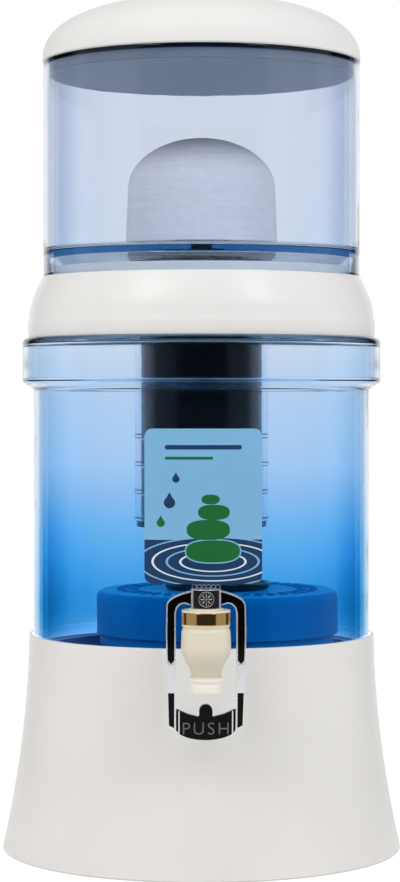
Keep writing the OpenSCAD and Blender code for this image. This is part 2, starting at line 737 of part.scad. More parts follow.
// Right half of the arch and arm, from the head outwards
function arch_top(inset) = [
    [head_r - 1.5, head_top - 0.9 - inset], [arm_out * 0.6, head_top - 3.6 - inset],
    [arm_out * 0.8, shoulder_h + 1.5 - inset], [arm_out * 0.95 - inset, shoulder_h - 0.2 - inset],
    [arm_out - inset, shoulder_h - 1.6 - inset * 0.6]
];
function arch_under(inset) = [
    [arm_in + inset, head_low - 3 - inset], [arm_in - 0.9 + inset * 0.9, head_low - 0.2 + inset * 0.4],
    [arm_in - 2.7 + inset * 0.6, head_low + 1.7 + inset * 0.8], [arm_in - 5.2, head_low + 2.4 + inset],
    [head_r - 0.2, head_low + 1 + inset]
];

module arm_outline() polygon(concat(
    arch_top(0),
    [[arm_out + 0.3, 0], [arm_out, -18], [arm_out - 1, arm_low + 2], [arm_in, arm_low - 0.8]],
    arch_under(0)
));

module upper_inlay_outline() polygon(concat(
    arch_top(0.7),
    [[arm_out - 0.6, 0], [arm_out - 0.9, -16.8], [(arm_in + arm_out) / 2, -19], [arm_in + 1, -16.8]],
    arch_under(0.9)
));

module lower_inlay_outline() polygon([
    [arm_in + 1, -36.7], [arm_out - 0.9, -36.7], [arm_out - 1.4, arm_low + 2.2], [arm_in + 1, arm_low + 0.6]
]);

module both_sides() {
    children();
    mirror([1, 0, 0]) children();
}

module lever_frame() color("silver") at_tap() difference() {
    union() {
        both_sides() lever_face(0, lever_t) arm_outline();
        translate([0, 0, head_low]) cylinder(r = head_r, h = head_top - head_low);
    }
    both_sides() lever_face(-1, inlay_t) {
        upper_inlay_outline();
        lower_inlay_outline();
    }
    head_seat();
    translate([0, 0, head_low - 1]) cylinder(r = 4.9, h = pin_z - head_low + 5.6);
    rod_x(pin_r + 0.02, head_d + 10, pin_z);
}

module lever_inlays() color("black") at_tap() both_sides() lever_face(0.05, inlay_t - 0.02) {
    intersection() {
        upper_inlay_outline();
        translate([head_r + seat_gap, -50]) square([40, 100]);
    }
    lower_inlay_outline();
}

// The black paddle between the arms, with a round-topped tab in its hollow upper edge
module push_plate() color("black") at_tap() lever_face(0.4, lever_t - 0.4) {
    tab_r = 4;
    tab_z = -lever_drop + 18.4;
    dip = -lever_drop + 14.3;
    half_top = [[tab_r, tab_z], [tab_r, dip + 0.3], [plate_in * 0.6, dip + 2], [plate_in, plate_side]];
    half_low = [[plate_in, arm_low - 1], [plate_in * 0.86, -lever_drop + 3.6], [plate_in * 0.6, -lever_drop + 1.6],
                [plate_in * 0.3, -lever_drop + 0.4]];
    polygon(concat(
        arc([0, tab_z], tab_r, 90, 0), half_top, half_low, [[0, -lever_drop]],
        mirrored(half_low), mirrored(half_top), arc([0, tab_z], tab_r, 180, 90)
    ));
}

module plate_trims() color("silver") at_tap() both_sides() lever_face(-0.3, 0.35)
    translate([plate_in * 0.875, -lever_drop + 4.4]) square([0.8, 14]);

module lever_pin() color("silver") at_tap() rod_x(pin_r, head_d - 0.6, pin_z);

// Room in the head for the sleeve that wraps its front
sleeve_t = 0.9;
module head_seat() translate([0, 0, head_low + 0.6]) head_wrap(head_r - sleeve_t, head_r + 1, 61, 9.2);

// A wedge of tube that faces the front, by its half angle
module head_wrap(r_in, r_out, half_angle, h) rotate([0, 0, -90 - half_angle])
    rotate_extrude(angle = 2 * half_angle) translate([r_in, 0]) square([r_out - r_in, h]);

module head_sleeve() color("black") at_tap() difference() {
    translate([0, 0, head_low + 0.7]) head_wrap(head_r - sleeve_t + 0.05, head_r + 0.5, 60, 9);
    for (i = [-6:6]) rotate([0, 0, i * 9]) translate([0, -head_r - 0.75, head_low])
        cylinder(r = 0.45, h = 12);
}

module head_emblem() color("silver") at_tap() translate([0, 0, (head_low + head_top) / 2]) {
    face = -head_r - 0.5;
    difference() {
        rod_y(4.9, face - 0.9, 0.9);
        rod_y(4.1, face - 1, 0.5);
    }
    for (i = [0:7]) rotate([0, i * 45, 0]) translate([2.5, 0, 0]) rod_y(0.9, face - 0.8, 0.5);
    rod_y(1.3, face - 1.1, 0.8);
}

// A ring of upright loops round the top of the head
module crown() color("silver") at_tap() translate([0, 0, head_top]) difference() {
    tube(head_r, head_r - 1.3, crown_h);
    for (i = [0:crown_n - 1]) {
        rotate([0, 0, i * 360 / crown_n]) translate([0, 0, crown_h * 0.6]) rod_y(crown_h * 0.22, -head_r - 2, 6);
        rotate([0, 0, (i + 0.5) * 360 / crown_n]) translate([0, 0, crown_h * 1.08])
            rod_y(crown_h * 0.27, -head_r - 2, 6);
    }
}

stand();
stand_deck();
deck_ribs();
lower_tank();
tank_collar();
front_label();
middle_ring();
upper_tank();
lid();
ceramic_dome();
dome_base();
dome_washer();
wing_nut();
cartridge_cap();
cartridge_gasket();
cartridge_shell();
cartridge_foot();
carbon_bed();
felt_pads();
sand_bed();
zeolite_bed();
mineral_bed();
basket_body();
basket_lid();
basket_dish();
mineral_stones();
tap_body();
tap_outer_washer();
tap_inner_washer();
tap_nut();
bonnet();
gilt_band();
valve_stem();
valve_seal();
valve_spring();
lever_frame();
lever_inlays();
push_plate();
plate_trims();
lever_pin();
head_sleeve();
head_emblem();
crown();
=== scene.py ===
import contextlib
import math
import random
import bpy
import bmesh
from mathutils import Matrix, Vector, geometry


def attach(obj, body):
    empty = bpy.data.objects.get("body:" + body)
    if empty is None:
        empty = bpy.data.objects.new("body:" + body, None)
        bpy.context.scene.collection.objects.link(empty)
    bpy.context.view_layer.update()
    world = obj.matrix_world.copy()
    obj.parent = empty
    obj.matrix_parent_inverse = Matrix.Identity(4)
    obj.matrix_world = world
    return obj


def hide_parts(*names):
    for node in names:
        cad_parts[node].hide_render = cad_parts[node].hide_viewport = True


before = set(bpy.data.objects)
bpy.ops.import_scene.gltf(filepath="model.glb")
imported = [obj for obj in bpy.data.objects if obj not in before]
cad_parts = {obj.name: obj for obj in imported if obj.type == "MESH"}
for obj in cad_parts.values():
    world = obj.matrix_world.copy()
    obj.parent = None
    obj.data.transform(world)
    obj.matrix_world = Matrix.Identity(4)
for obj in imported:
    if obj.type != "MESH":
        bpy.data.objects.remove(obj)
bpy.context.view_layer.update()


# ---- Studio --------------------------------------------------------------------------------
# A white sweep that the filter stands on, a soft lamp on each side of the camera, and a room
# that is dark behind the camera, so that black and gilt pieces keep their depth.

def feed(tree, sockets, values):
    """Links or sets sockets, each by its number or by its name, with _ for a space."""
    for key, value in values.items():
        socket = sockets[key if isinstance(key, int) else key.replace("_", " ")]
        if isinstance(value, bpy.types.NodeSocket):
            tree.links.new(value, socket)
        elif value is not None:
            socket.default_value = value


def step(tree, kind, *feeds, **settings):
    """Adds a shader node. Feeds go into its inputs in order; settings are its options or named inputs."""
    made = tree.nodes.new("ShaderNode" + kind)
    for key in [key for key in settings if hasattr(made, key)]:
        setattr(made, key, settings.pop(key))
    feed(tree, made.inputs, {**dict(enumerate(feeds)), **settings})
    return made


def sums(tree, operation, a, b=0.0):
    """One step of arithmetic on one or two values."""
    return step(tree, "Math", a, b, operation=operation).outputs[0]


def times(tree, *factors):
    """The product of all the factors."""
    made = factors[0]
    for factor in factors[1:]:
        made = sums(tree, "MULTIPLY", made, factor)
    return made


def rest(tree, value):
    """What a value leaves of 1."""
    return sums(tree, "SUBTRACT", 1.0, value)


def between(tree, factor, a, b):
    """A value from a to b as factor goes from 0 to 1."""
    return step(tree, "Mix", factor, None, a, b).outputs[0]


def stretch(tree, value, low, high, to_low=0.0, to_high=1.0):
    """Value from low..high onto to_low..to_high, with soft ends."""
    return step(tree, "MapRange", value, low, high, to_low, to_high,
                interpolation_type="SMOOTHSTEP").outputs[0]


def effect(name, takes, gives):
    """An empty node group. takes holds default values, gives the kinds of its outputs."""
    group = bpy.data.node_groups.new(name, "ShaderNodeTree")
    for key, value in takes.items():
        kind = "NodeSocketFloat" if isinstance(value, float) else "NodeSocketColor"
        group.interface.new_socket(key, in_out="INPUT", socket_type=kind).default_value = value
    for key, kind in gives.items():
        group.interface.new_socket(key, in_out="OUTPUT", socket_type="NodeSocket" + kind)
    return group, group.nodes.new("NodeGroupInput").outputs, group.nodes.new("NodeGroupOutput").inputs


def placed(tree, group, **values):
    """Places a node group in a material with its own values."""
    made = tree.nodes.new("ShaderNodeGroup")
    made.node_tree = group
    feed(tree, made.inputs, values)
    return made.outputs


scene = bpy.context.scene
scene.view_settings.view_transform = "Standard"
scene.cycles.max_bounces = scene.cycles.transmission_bounces = 24
scene.cycles.glossy_bounces, scene.cycles.diffuse_bounces = 8, 5
scene.cycles.transparent_max_bounces = 40

# How bright a mirror sees the room: in front, beside it and at its black flag
front_light, side_light, flag_light = 0.03, 0.34, 0.03
# The light of the air, and the shares of it that come from the front, the sides and through glass
air_light, front_share, side_share, through_share = 0.74, 0.71, 1.60, 1.4
all_white = (1.0, 1.0, 1.0, 1.0)

# What a mirrored ray meets by its direction along Y: the dark front of the room, a lit side, a
# black flag and the white behind. A ray that went on through clear plastic is not one of them.
glow, put, out = effect("room_glow", {"Ahead": 0.0, "Bounces": 0.0, "Walls": 0.0},
                        {"Level": "Float", "Mirrored": "Float"})
beside = stretch(glow, put["Ahead"], -0.74, -0.64, front_light, side_light)
flag = stretch(glow, put["Ahead"], 0.20, 0.32, 1.0, flag_light)
behind = stretch(glow, put["Ahead"], 0.80, 0.92)
through = sums(glow, "GREATER_THAN", put["Walls"], 0.5)
onward = times(glow, stretch(glow, put["Ahead"], -0.05, 0.15), through)
mirrored = times(glow, sums(glow, "GREATER_THAN", put["Bounces"], 0.5), rest(glow, onward))
feed(glow, out, {"Level": sums(glow, "MAXIMUM", times(glow, beside, flag), behind), "Mirrored": mirrored})


def looked_at(tree, ray):
    """1 on rays that the camera sends out, also by way of mirrors and clear walls, and 0 on light."""
    seen = sums(tree, "MAXIMUM", ray["Is Camera Ray"], ray["Is Glossy Ray"])
    seen = sums(tree, "MAXIMUM", seen, ray["Is Transmission Ray"])
    return times(tree, seen, sums(tree, "LESS_THAN", ray["Diffuse Depth"], 0.5))


scene.world = bpy.data.worlds.new("studio_room")
scene.world.use_nodes = True
air = scene.world.node_tree
air.nodes.clear()
ray = step(air, "LightPath").outputs
aim = step(air, "SeparateXYZ", step(air, "TexCoord").outputs["Generated"]).outputs
room = placed(air, glow, Ahead=aim["Y"], Bounces=ray["Glossy Depth"], Walls=ray["Transmission Depth"])
over = sums(air, "MAXIMUM", room["Level"], stretch(air, aim["Z"], 0.75, 0.95))
# Matt surfaces get more light from the two sides than from the front
sides = stretch(air, sums(air, "ABSOLUTE", aim["X"]), 0.0, 1.0, air_light * front_share,
                air_light * side_share)
inside = between(air, ray["Is Transmission Ray"], sides, air_light * through_share)
level = between(air, looked_at(air, ray), inside, between(air, room["Mirrored"], 1.0, over))
step(air, "OutputWorld", step(air, "Background", all_white, level).outputs[0])


def linked(name, data):
    """A new object in the scene that holds a mesh, letters, a lamp or a lens."""
    made = bpy.data.objects.new(name, data)
    scene.collection.objects.link(made)
    return made


def mesh_piece(name, points, faces):
    """A mesh object from points in millimetres."""
    mesh = bpy.data.meshes.new(name)
    mesh.from_pydata([[c / 1000 for c in p] for p in points], [], faces)
    return linked(name, mesh)


# The glow that the paper shows near the filter, how well it shows a shadow, and its matt colour
paper_light, paper_chalk, paper_shade = 0.78, 0.34, (0.80, 0.80, 0.80, 1)
paper_half, paper_z = 9000, -0.1
sweep = mesh_piece("floor_sweep", [(x * paper_half, y * paper_half, paper_z)
                                   for x, y in ((-1, -1), (1, -1), (1, 1), (-1, 1))], [(0, 1, 2, 3)])
paper = bpy.data.materials.new("sweep_paper")
paper.use_nodes = True
tree = paper.node_tree
tree.nodes.clear()
ray = step(tree, "LightPath").outputs
at = step(tree, "TexCoord").outputs["Object"]
away = step(tree, "VectorMath", at, operation="LENGTH").outputs["Value"]
far = stretch(tree, away, 0.35, 0.95)
course = step(tree, "SeparateXYZ", step(tree, "NewGeometry").outputs["Incoming"]).outputs["Y"]
room = placed(tree, glow, Ahead=times(tree, course, -1.0), Bounces=ray["Glossy Depth"],
              Walls=ray["Transmission Depth"])
level = between(tree, room["Mirrored"], between(tree, far, paper_light, 1.0),
                between(tree, stretch(tree, away, 0.45, 0.90), paper_light, room["Level"]))
chalk = times(tree, paper_chalk, rest(tree, sums(tree, "MAXIMUM", room["Mirrored"], far)))
white = step(tree, "AddShader", step(tree, "BsdfDiffuse", chalk).outputs[0],
             step(tree, "Emission", all_white, level).outputs[0])
matt = step(tree, "BsdfDiffuse", paper_shade)
step(tree, "OutputMaterial",
     step(tree, "MixShader", looked_at(tree, ray), matt.outputs[0], white.outputs[0]).outputs[0])
sweep.data.materials.append(paper)

lamp_away, lamp_turn, lamp_rise = 1.7, math.radians(40), math.radians(37)
lamp_aim = Vector((0, 0, 0.34))
for side, warmth in ((-1, (1.0, 0.985, 0.96)), (1, (0.965, 0.985, 1.0))):
    lamp = bpy.data.lights.new("soft_lamp", "AREA")
    lamp.shape, lamp.size, lamp.size_y = "RECTANGLE", 0.42, 0.80
    lamp.energy, lamp.color = 4.5, warmth
    holder = linked("soft_lamp", lamp)
    holder.location = (side * lamp_away * math.cos(lamp_rise) * math.sin(lamp_turn),
                       -lamp_away * math.cos(lamp_rise) * math.cos(lamp_turn),
                       lamp_aim.z + lamp_away * math.sin(lamp_rise))
    holder.rotation_euler = (lamp_aim - holder.location).to_track_quat("-Z", "Y").to_euler()

camera_away, camera_z, camera_swing = 1.656, 0.294, math.radians(1.02)
lens = bpy.data.cameras.new("camera")
lens.lens, lens.shift_x, lens.shift_y = 102.612, -0.0017, -0.0476
camera = linked("camera", lens)
camera.location = (-camera_away * math.sin(camera_swing), -camera_away * math.cos(camera_swing), camera_z)
camera.rotation_euler = (math.pi / 2, 0, -camera_swing)
scene.camera = camera


# ---- Stand ---------------------------------------------------------------------------------
# One white injection moulding: a flared skirt with a rounded rim that holds the lower tank, a
# deck with a hole in its middle, and eight ribs under the deck.

def ink(red, green, blue):
    """A colour as it is read off a screen, 0 to 255, in Blender's own linear values."""
    return tuple(((c / 255 + 0.055) / 1.055) ** 2.4 if c > 10 else c / 255 / 12.92
                 for c in (red, green, blue)) + (1.0,)


def blended(tree, factor, first, second):
    """A colour from first to second as factor goes from 0 to 1."""
    made = step(tree, "Mix", factor, data_type="RGBA")
    feed(tree, made.inputs, {6: first, 7: second})
    return made.outputs[2]


def dimmed(tree, colour, share):
    """A colour times a value."""
    return step(tree, "VectorMath", colour, operation="SCALE", Scale=share).outputs[0]


def own(tree):
    """A point's place on its piece, in metres."""
    return step(tree, "TexCoord").outputs["Object"]


def spot(tree):
    """A point's own X, Y and Z."""
    return step(tree, "SeparateXYZ", own(tree)).outputs


def noise(tree, at, scale, detail, **more):
    """Cloudy values between 0 and 1."""
    return step(tree, "TexNoise", Vector=at, Scale=scale, Detail=detail, **more).outputs[0]


def around(steps):
    """The angles of a circle that is cut into steps."""
    return [2 * math.pi * k / steps for k in range(steps)]


def eased(points, steps=4, lead=0.3):
    """An outline whose corners are rounded: each point is (radius, height) or has its rounding third."""
    line = []
    for i, point in enumerate(points):
        b = Vector(point[:2])
        if len(point) < 3:
            line.append(tuple(b))
            continue
        u, v = (Vector(points[k % len(points)][:2]) - b for k in (i - 1, i + 1))
        reach, half = (u.length, v.length), u.angle(v) / 2
        run = min(point[2] / math.tan(half), 0.48 * u.length, 0.48 * v.length)
        r = run * math.tan(half)
        u.normalize(), v.normalize()
        centre = b + (u + v).normalized() * (r / math.sin(half))
        a, c = b + u * run - centre, b + v * run - centre
        # A point just before and after the arc keeps the long faces beside it flat in their shading
        before, after = ([tuple(b + w * (run + lead))] if length > 2 * run + 3 * lead else []
                         for w, length in zip((u, v), reach))
        arc = [tuple(centre + a.lerp(c, k / steps).normalized() * r) for k in range(steps + 1)]
        line += before + arc + after
    return line


def shaded(piece, angle=35):
    """Shades a piece smooth, apart from edges that turn by more than an angle."""
    piece.data.shade_smooth()
    piece.data.set_sharp_from_angle(angle=math.radians(angle))
    return piece


@contextlib.contextmanager
def reworked(piece):
    """A piece's mesh as a bmesh, which is written back at the end."""
    work = bmesh.new()
    work.from_mesh(piece.data)
    yield work
    work.to_mesh(piece.data)
    work.free()


def closed(piece, angle=35):
    """Turns a piece's faces outwards and shades it smooth across edges below an angle."""
    with reworked(piece) as work:
        bmesh.ops.recalc_face_normals(work, faces=work.faces)
    return shaded(piece, angle)


def turned(name, outline, steps=192, about=(0, 0, 0), along="Z"):
    """A piece of revolution from an outline of (radius, height), about the upright line through a point."""
    points, faces, rings = [], [], []
    for r, z in outline:
        if r < 1e-6:
            rings.append([len(points)] * steps)
            points.append((0, 0, z))
        else:
            rings.append([len(points) + k for k in range(steps)])
            points += [(r * math.cos(a), r * math.sin(a), z) for a in around(steps)]
    points = [(x + about[0], y + about[1], z + about[2]) if along == "Z" else
              (x + about[0], z + about[1], y + about[2]) for x, y, z in points]
    for a, b in zip(rings, rings[1:] + rings[:1]):
        for k in range(steps):
            j = (k + 1) % steps
            face = list(dict.fromkeys((a[k], a[j], b[j], b[k])))
            if len(face) > 2:
                faces.append(face)
    return closed(mesh_piece(name, points, faces))


def finish(name, **sockets):
    """A material with one Principled shader. Returns the material, its tree and the shader."""
    material = bpy.data.materials.new(name)
    material.use_nodes = True
    tree = material.node_tree
    shader = tree.nodes["Principled BSDF"]
    feed(tree, shader.inputs, sockets)
    return material, tree, shader


def relief(tree, shader, height, depth):
    """Feeds a height in 0..1, worth depth in metres, to the shader as a bump."""
    bump = step(tree, "Bump", Strength=1.0, Distance=depth, Height=height)
    feed(tree, shader.inputs, {"Normal": bump.outputs[0]})


# Moulded skin: faint flow marks in the colour, the fine grain of the mould, uneven gloss
moulded, put, out = effect("moulded_skin", {"Color": all_white, "Flow": 0.03, "Grain": 1500.0, "Gloss": 0.3,
                                            "Uneven": 0.06},
                           {"Color": "Color", "Roughness": "Float", "Height": "Float"})
at = own(moulded)
flow = stretch(moulded, noise(moulded, at, 14.0, 3.0), 0.35, 0.65)
dim = rest(moulded, times(moulded, put["Flow"], flow))
uneven = times(moulded, put["Uneven"], sums(moulded, "SUBTRACT", noise(moulded, at, 90.0, 4.0), 0.5))
feed(moulded, out, {"Color": dimmed(moulded, put["Color"], dim),
                    "Roughness": sums(moulded, "ADD", put["Gloss"], uneven),
                    "Height": noise(moulded, at, put["Grain"], 2.0)})


def plastic(name, colour, gloss=0.3, flow=0.03, grain=1500.0, depth=0.00002, **sockets):
    """A moulded plastic. Its colour is a value, or a function that works it out in the material's tree."""
    material, tree, shader = finish(name, **sockets)
    skin = placed(tree, moulded, Color=colour(tree) if callable(colour) else colour, Flow=flow, Grain=grain,
                  Gloss=gloss)
    feed(tree, shader.inputs, {"Base Color": skin["Color"], "Roughness": skin["Roughness"]})
    relief(tree, shader, skin["Height"], depth)
    return material


def dress(piece, material, body, slot, *nodes):
    """Gives a new piece its material and the body it rides on, and hides the solids it stands for. Its slot
    is not used.
    """
    piece.data.materials.clear()
    piece.data.materials.append(material)
    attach(piece, body)
    if nodes:
        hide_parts(*nodes)


stand_top, stand_wall, foot_r = 140.5, 2.6, 126.0
seat_r, deck_top, deck_under, deck_hole_r = 110.5, 127.5, 124.5, 65
rib_n, rib_in_r, rib_out_r, rib_top, rib_foot = 8, 71, 110.8, 124.4, 108.5


def skirt_r(z):
    """The skirt's outer radius, which flares towards the foot."""
    return 113.1 + 17.4 * (1 - z / stand_top) ** 1.8


outside = [(skirt_r(z), z) for z in [1 + 138.5 * k / 40 for k in range(41)]]
inside = [(skirt_r(z) - stand_wall, z) for z in [3 + 121.5 * k / 40 for k in range(41)]]
stand = turned("stand_moulding", eased(
    [(foot_r, 0, 0.5), (129.4, 0, 0.8)] + outside +
    [(112.9, 140.2), (112.4, stand_top), (111.3, stand_top, 0.6), (seat_r, 139.7), (seat_r, deck_top, 0.8),
     (deck_hole_r, deck_top, 0.7), (deck_hole_r, deck_under, 0.7)] + inside[::-1] + [(foot_r, 3)]))
with reworked(stand) as work:
    for k in range(rib_n):
        # A rib, drawn as a plate that is a little thinner at its foot, with its inner corner cut off
        plate = [(rib_in_r, rib_top), (rib_in_r, 119.7), (75.8, rib_foot), (rib_out_r, rib_foot),
                 (rib_out_r, rib_top)]
        turn = Matrix.Rotation(math.radians((k + 0.5) * 360 / rib_n), 4, "Z")
        rows = [[work.verts.new(turn @ Vector((r / 1000, s * (1.2 if z > 120 else 0.95) / 1000, z / 1000)))
                 for r, z in plate] for s in (-1, 1)]
        faces = [work.faces.new(rows[0]), work.faces.new(rows[1][::-1])]
        faces += [work.faces.new((rows[0][i], rows[1][i], rows[1][(i + 1) % 5], rows[0][(i + 1) % 5]))
                  for i in range(5)]
        bmesh.ops.recalc_face_normals(work, faces=faces)
shaded(stand)


def painted_light_behind_lever(tree):
    """The stand's white, painted a touch brighter behind the lever: painted light that lifts the shadow of
    the tap and lever.
    """
    at = spot(tree)
    middle = times(tree, stretch(tree, sums(tree, "ABSOLUTE", at["X"]), 0.016, 0.030, 1.0, 0.0),
                   stretch(tree, at["Z"], 0.076, 0.100), sums(tree, "LESS_THAN", at["Y"], 0.0))
    return blended(tree, middle, ink(237, 234, 231), ink(251, 250, 248))


# The stand's white, with a patch of painted light behind the lever
stand_white = plastic("stand_white", painted_light_behind_lever, gloss=0.36)
tree = stand_white.node_tree
# Painted light: its rim's inner face is given a faint glow, standing in for the light that the clear tank
# leads to it
where = step(tree, "NewGeometry").outputs
flat = step(tree, "VectorMath", where["Position"], (1.0, 1.0, 0.0), operation="MULTIPLY").outputs[0]
inward = step(tree, "VectorMath", where["Normal"], flat, operation="DOT_PRODUCT").outputs["Value"]
lit = times(tree, sums(tree, "LESS_THAN", inward, -0.05), stretch(tree, spot(tree)["Z"], 0.1305, 0.1312))
feed(tree, tree.nodes["Principled BSDF"].inputs, {
    "Emission Color": step(tree, "CombineColor", lit, lit, lit).outputs[0], "Emission Strength": 1.0})
dress(stand, stand_white, "stand", "stand", "stand", "stand_deck", "deck_ribs")


# ---- Lower tank ----------------------------------------------------------------------------
# A clear blue vessel, moulded in one piece with its floor, a swollen collar for the hands and a
# neck that the middle ring goes over. The tap's flat pad and hole are at its front.

def clear(name, tint, colour, density, green=1.0, blue=1.0, strip=0.66, pale=1.0, slanted=5.5, eases=1.0,
          glow_z=None, **sockets):
    """Clear plastic: tint(tree) gives its surface colour, colour and density what its depth takes away.

    Where the view meets the wall at a slant the tint deepens by slanted, green and blue with shares of
    their own; past the slant strip it falls to the power pale. The deepening eases with height, and below
    the height glow_z the strip is given a faint glow of painted light.
    """
    material, tree, shader = finish(name, IOR=1.46, Transmission_Weight=1.0, **sockets)
    skin = placed(tree, moulded, Flow=0.0, Grain=34.0, Gloss=0.015, Uneven=0.01)
    # A wall seen at a slant is a longer way through the plastic
    facing = step(tree, "LayerWeight", Blend=0.5).outputs["Facing"]
    level = step(tree, "SeparateXYZ", step(tree, "NewGeometry").outputs["Normal"]).outputs["Z"]
    upright = rest(tree, sums(tree, "ABSOLUTE", level))
    height = spot(tree)["Z"]
    slant = sums(tree, "POWER", sums(tree, "MAXIMUM", sums(tree, "SUBTRACT", facing, 0.12), 0.0), 2.2)
    slant = times(tree, sums(tree, "MINIMUM", times(tree, slant, slanted), 3.0), upright,
                  stretch(tree, height, 0.17, 0.26, 1.0, eases))
    edge = times(tree, stretch(tree, facing, strip, strip + 0.02), sums(tree, "GREATER_THAN", upright, 0.8))
    shade, parts = tint(tree), []
    for k, share in enumerate((1.0, green, blue)):
        longer = between(tree, edge, sums(tree, "ADD", 1.0, times(tree, slant, share)), pale)
        parts.append(step(tree, "SeparateColor", step(tree, "Gamma", shade, longer).outputs[0]).outputs[k])
    feed(tree, shader.inputs, {"Base Color": step(tree, "CombineColor", *parts).outputs[0],
                               "Roughness": skin["Roughness"]})
    if glow_z:
        # Painted light: a faint glow on the slant strip below glow_z
        painted_glow = times(tree, edge, stretch(tree, height, glow_z, glow_z + 0.002, 0.28, 0.0))
        parts = [times(tree, painted_glow, part) for part in ink(214, 222, 240)[:3]]
        feed(tree, shader.inputs, {"Emission Color": step(tree, "CombineColor", *parts).outputs[0],
                                   "Emission Strength": 1.0})
    relief(tree, shader, skin["Height"], 0.00012)
    # Lamps' rays go straight through, so that they reach the pieces inside
    gap = step(tree, "BsdfTransparent", (0.93, 0.97, 1.0, 1))
    surface = step(tree, "MixShader", step(tree, "LightPath").outputs["Is Shadow Ray"], shader.outputs[0],
                   gap.outputs[0])
    feed(tree, tree.nodes["Material Output"].inputs, {
        "Surface": surface.outputs[0], "Volume": step(tree, "VolumeAbsorption", colour, density).outputs[0]})
    return material


def walled(red, green, blue):
    """One wall's tint, from the colour that white has behind two walls."""
    return tuple(math.sqrt(c) for c in ink(red, green, blue))


def blue_by_height(tree):
    """The lower tank's blue, which deepens towards its floor."""
    stops = ((0.1315, (226, 208, 244)), (0.137, (150, 180, 238)), (0.147, (66, 158, 232)),
             (0.160, (46, 152, 231)), (0.188, (86, 174, 246)), (0.209, (112, 186, 248)),
             (0.230, (144, 196, 249)), (0.251, (168, 208, 252)), (0.272, (177, 212, 250)),
             (0.293, (184, 214, 250)), (0.325, (206, 224, 248)))
    low, high = stops[0][0], stops[-1][0]
    ramp = step(tree, "ValToRGB", step(tree, "MapRange", spot(tree)["Z"], low, high, 0.0, 1.0).outputs[0])
    tones = ramp.color_ramp.elements
    for z, _ in stops[1:-1]:
        tones.new((z - low) / (high - low))
    for tone, (_, colour) in zip(tones, stops):
        tone.color = walled(*colour)
    return ramp.outputs["Color"]


tank_blue = clear("tank_blue", blue_by_height, (0.25, 0.62, 0.98, 1), 14.0, green=0.75, blue=2.5, strip=0.672,
                  slanted=11.0, eases=0.42, Specular_Tint=(0.12, 0.5, 0.9, 1.0))


def rise(r0, z0, r1, z1, steps=12):
    """A smooth step in an outline whose ends are upright."""
    return [(r0 + (r1 - r0) * (1 - math.cos(math.pi * k / steps)) / 2, z0 + (z1 - z0) * k / steps)
            for k in range(steps + 1)]


tank_r, tank_in_r, tank_foot, tank_floor = 110, 106.5, 127.5, 131.5
collar_r, collar_in_r, collar_under, collar_top = 117.5, 114, 330.5, 334
neck_r, neck_in_r, neck_top = 110.4, 107.4, 341
lower_shell = turned("lower_tank_shell", eased(
    [(0, 128.7), (88, 128.7, 0.5), (90, tank_foot, 0.5), (tank_r, tank_foot, 8)] +
    [(tank_r, z) for z in (160, 190, 220, 250, 280)] + rise(tank_r, 299.5, collar_r, 305.8) +
    [(collar_r, 316), (collar_r, collar_top, 6), (neck_r, collar_top, 0.4), (neck_r, neck_top, 1),
     (neck_in_r, neck_top, 0.4), (neck_in_r, collar_under, 0.6), (collar_in_r, collar_under, 2.8)] +
    rise(collar_in_r, 308, tank_in_r, 301.2) + [(tank_in_r, z) for z in (280, 250, 220, 190, 160)] +
    [(tank_in_r, tank_floor, 6), (0, tank_floor)], steps=8))

tap_z, pad_r, pad_front, tap_hole_r = 154.5, 13.5, -111, 8.3


def drum(name, r, y0, y1, steps=96):
    """A round bar along the tap's axis, used as a cutter or a pad."""
    points = [(r * math.cos(a), y, tap_z + r * math.sin(a)) for y in (y0, y1) for a in around(steps)]
    faces = [list(range(steps))[::-1], list(range(steps, 2 * steps))]
    faces += [(k, (k + 1) % steps, steps + (k + 1) % steps, steps + k) for k in range(steps)]
    return mesh_piece(name, points, faces)


def settled(piece):
    """A piece's mesh as its modifiers or its letters make it."""
    return bpy.data.meshes.new_from_object(piece.evaluated_get(bpy.context.evaluated_depsgraph_get()))


def carve(piece, tool, operation):
    """Joins tool to piece or cuts it away, and keeps the result as piece's own mesh."""
    change = piece.modifiers.new("carve", "BOOLEAN")
    change.object, change.operation, change.solver = tool, operation, "EXACT"
    made = settled(piece)
    piece.modifiers.clear()
    piece.data = made
    bpy.data.objects.remove(tool)


carve(lower_shell, drum("pad", pad_r, pad_front, -105.3), "UNION")
carve(lower_shell, drum("hole", tap_hole_r, pad_front - 1, -100), "DIFFERENCE")
shaded(lower_shell)
dress(lower_shell, tank_blue, "tank", "lower_tank", "lower_tank", "tank_collar")
# The floor's upper face lies over the dark stand and looks deep blue, so it is given an opaque deep blue as
# painted shade
lower_shell.data.materials.append(plastic("floor_painted_shade", ink(3, 72, 124), gloss=0.5, flow=0.2,
                                          Specular_IOR_Level=0.0))
for face in lower_shell.data.polygons:
    face.material_index = int(face.normal.z > 0.95 and abs(face.center.z - tank_floor / 1000) < 0.0003)


# ---- Front label ---------------------------------------------------------------------------
# A printed film on the tank's front with rounded corners. It shows a stack of smooth stones over
# rings of water, falling drops and two plain bars, in flat inks on a pale blue ground.

def oval(x, z, a, b, steps=64, power=2.5):
    """An oval, fuller in its corners than an ellipse where power is over 2."""
    return [(x + a * math.copysign(abs(math.cos(t)) ** (2 / power), math.cos(t)),
             z + b * math.copysign(abs(math.sin(t)) ** (2 / power), math.sin(t))) for t in around(steps)]


def bar(x0, z0, x1, z1, r):
    """A rectangle with round corners."""
    corners = ((x1 - r, z1 - r, 0), (x0 + r, z1 - r, 90), (x0 + r, z0 + r, 180), (x1 - r, z0 + r, 270))
    return [(x + r * math.cos(math.radians(a + 15 * k)), z + r * math.sin(math.radians(a + 15 * k)))
            for x, z, a in corners for k in range(7)]


def drop(x, z, r):
    """A round drop with a short drawn-out top."""
    return [(x + r * math.cos(t) * (1 - 0.55 * max(0, math.sin(t)) ** 3),
             z + r * math.sin(t) * (1 + 0.75 * max(0, math.sin(t)) ** 5)) for t in around(40)]


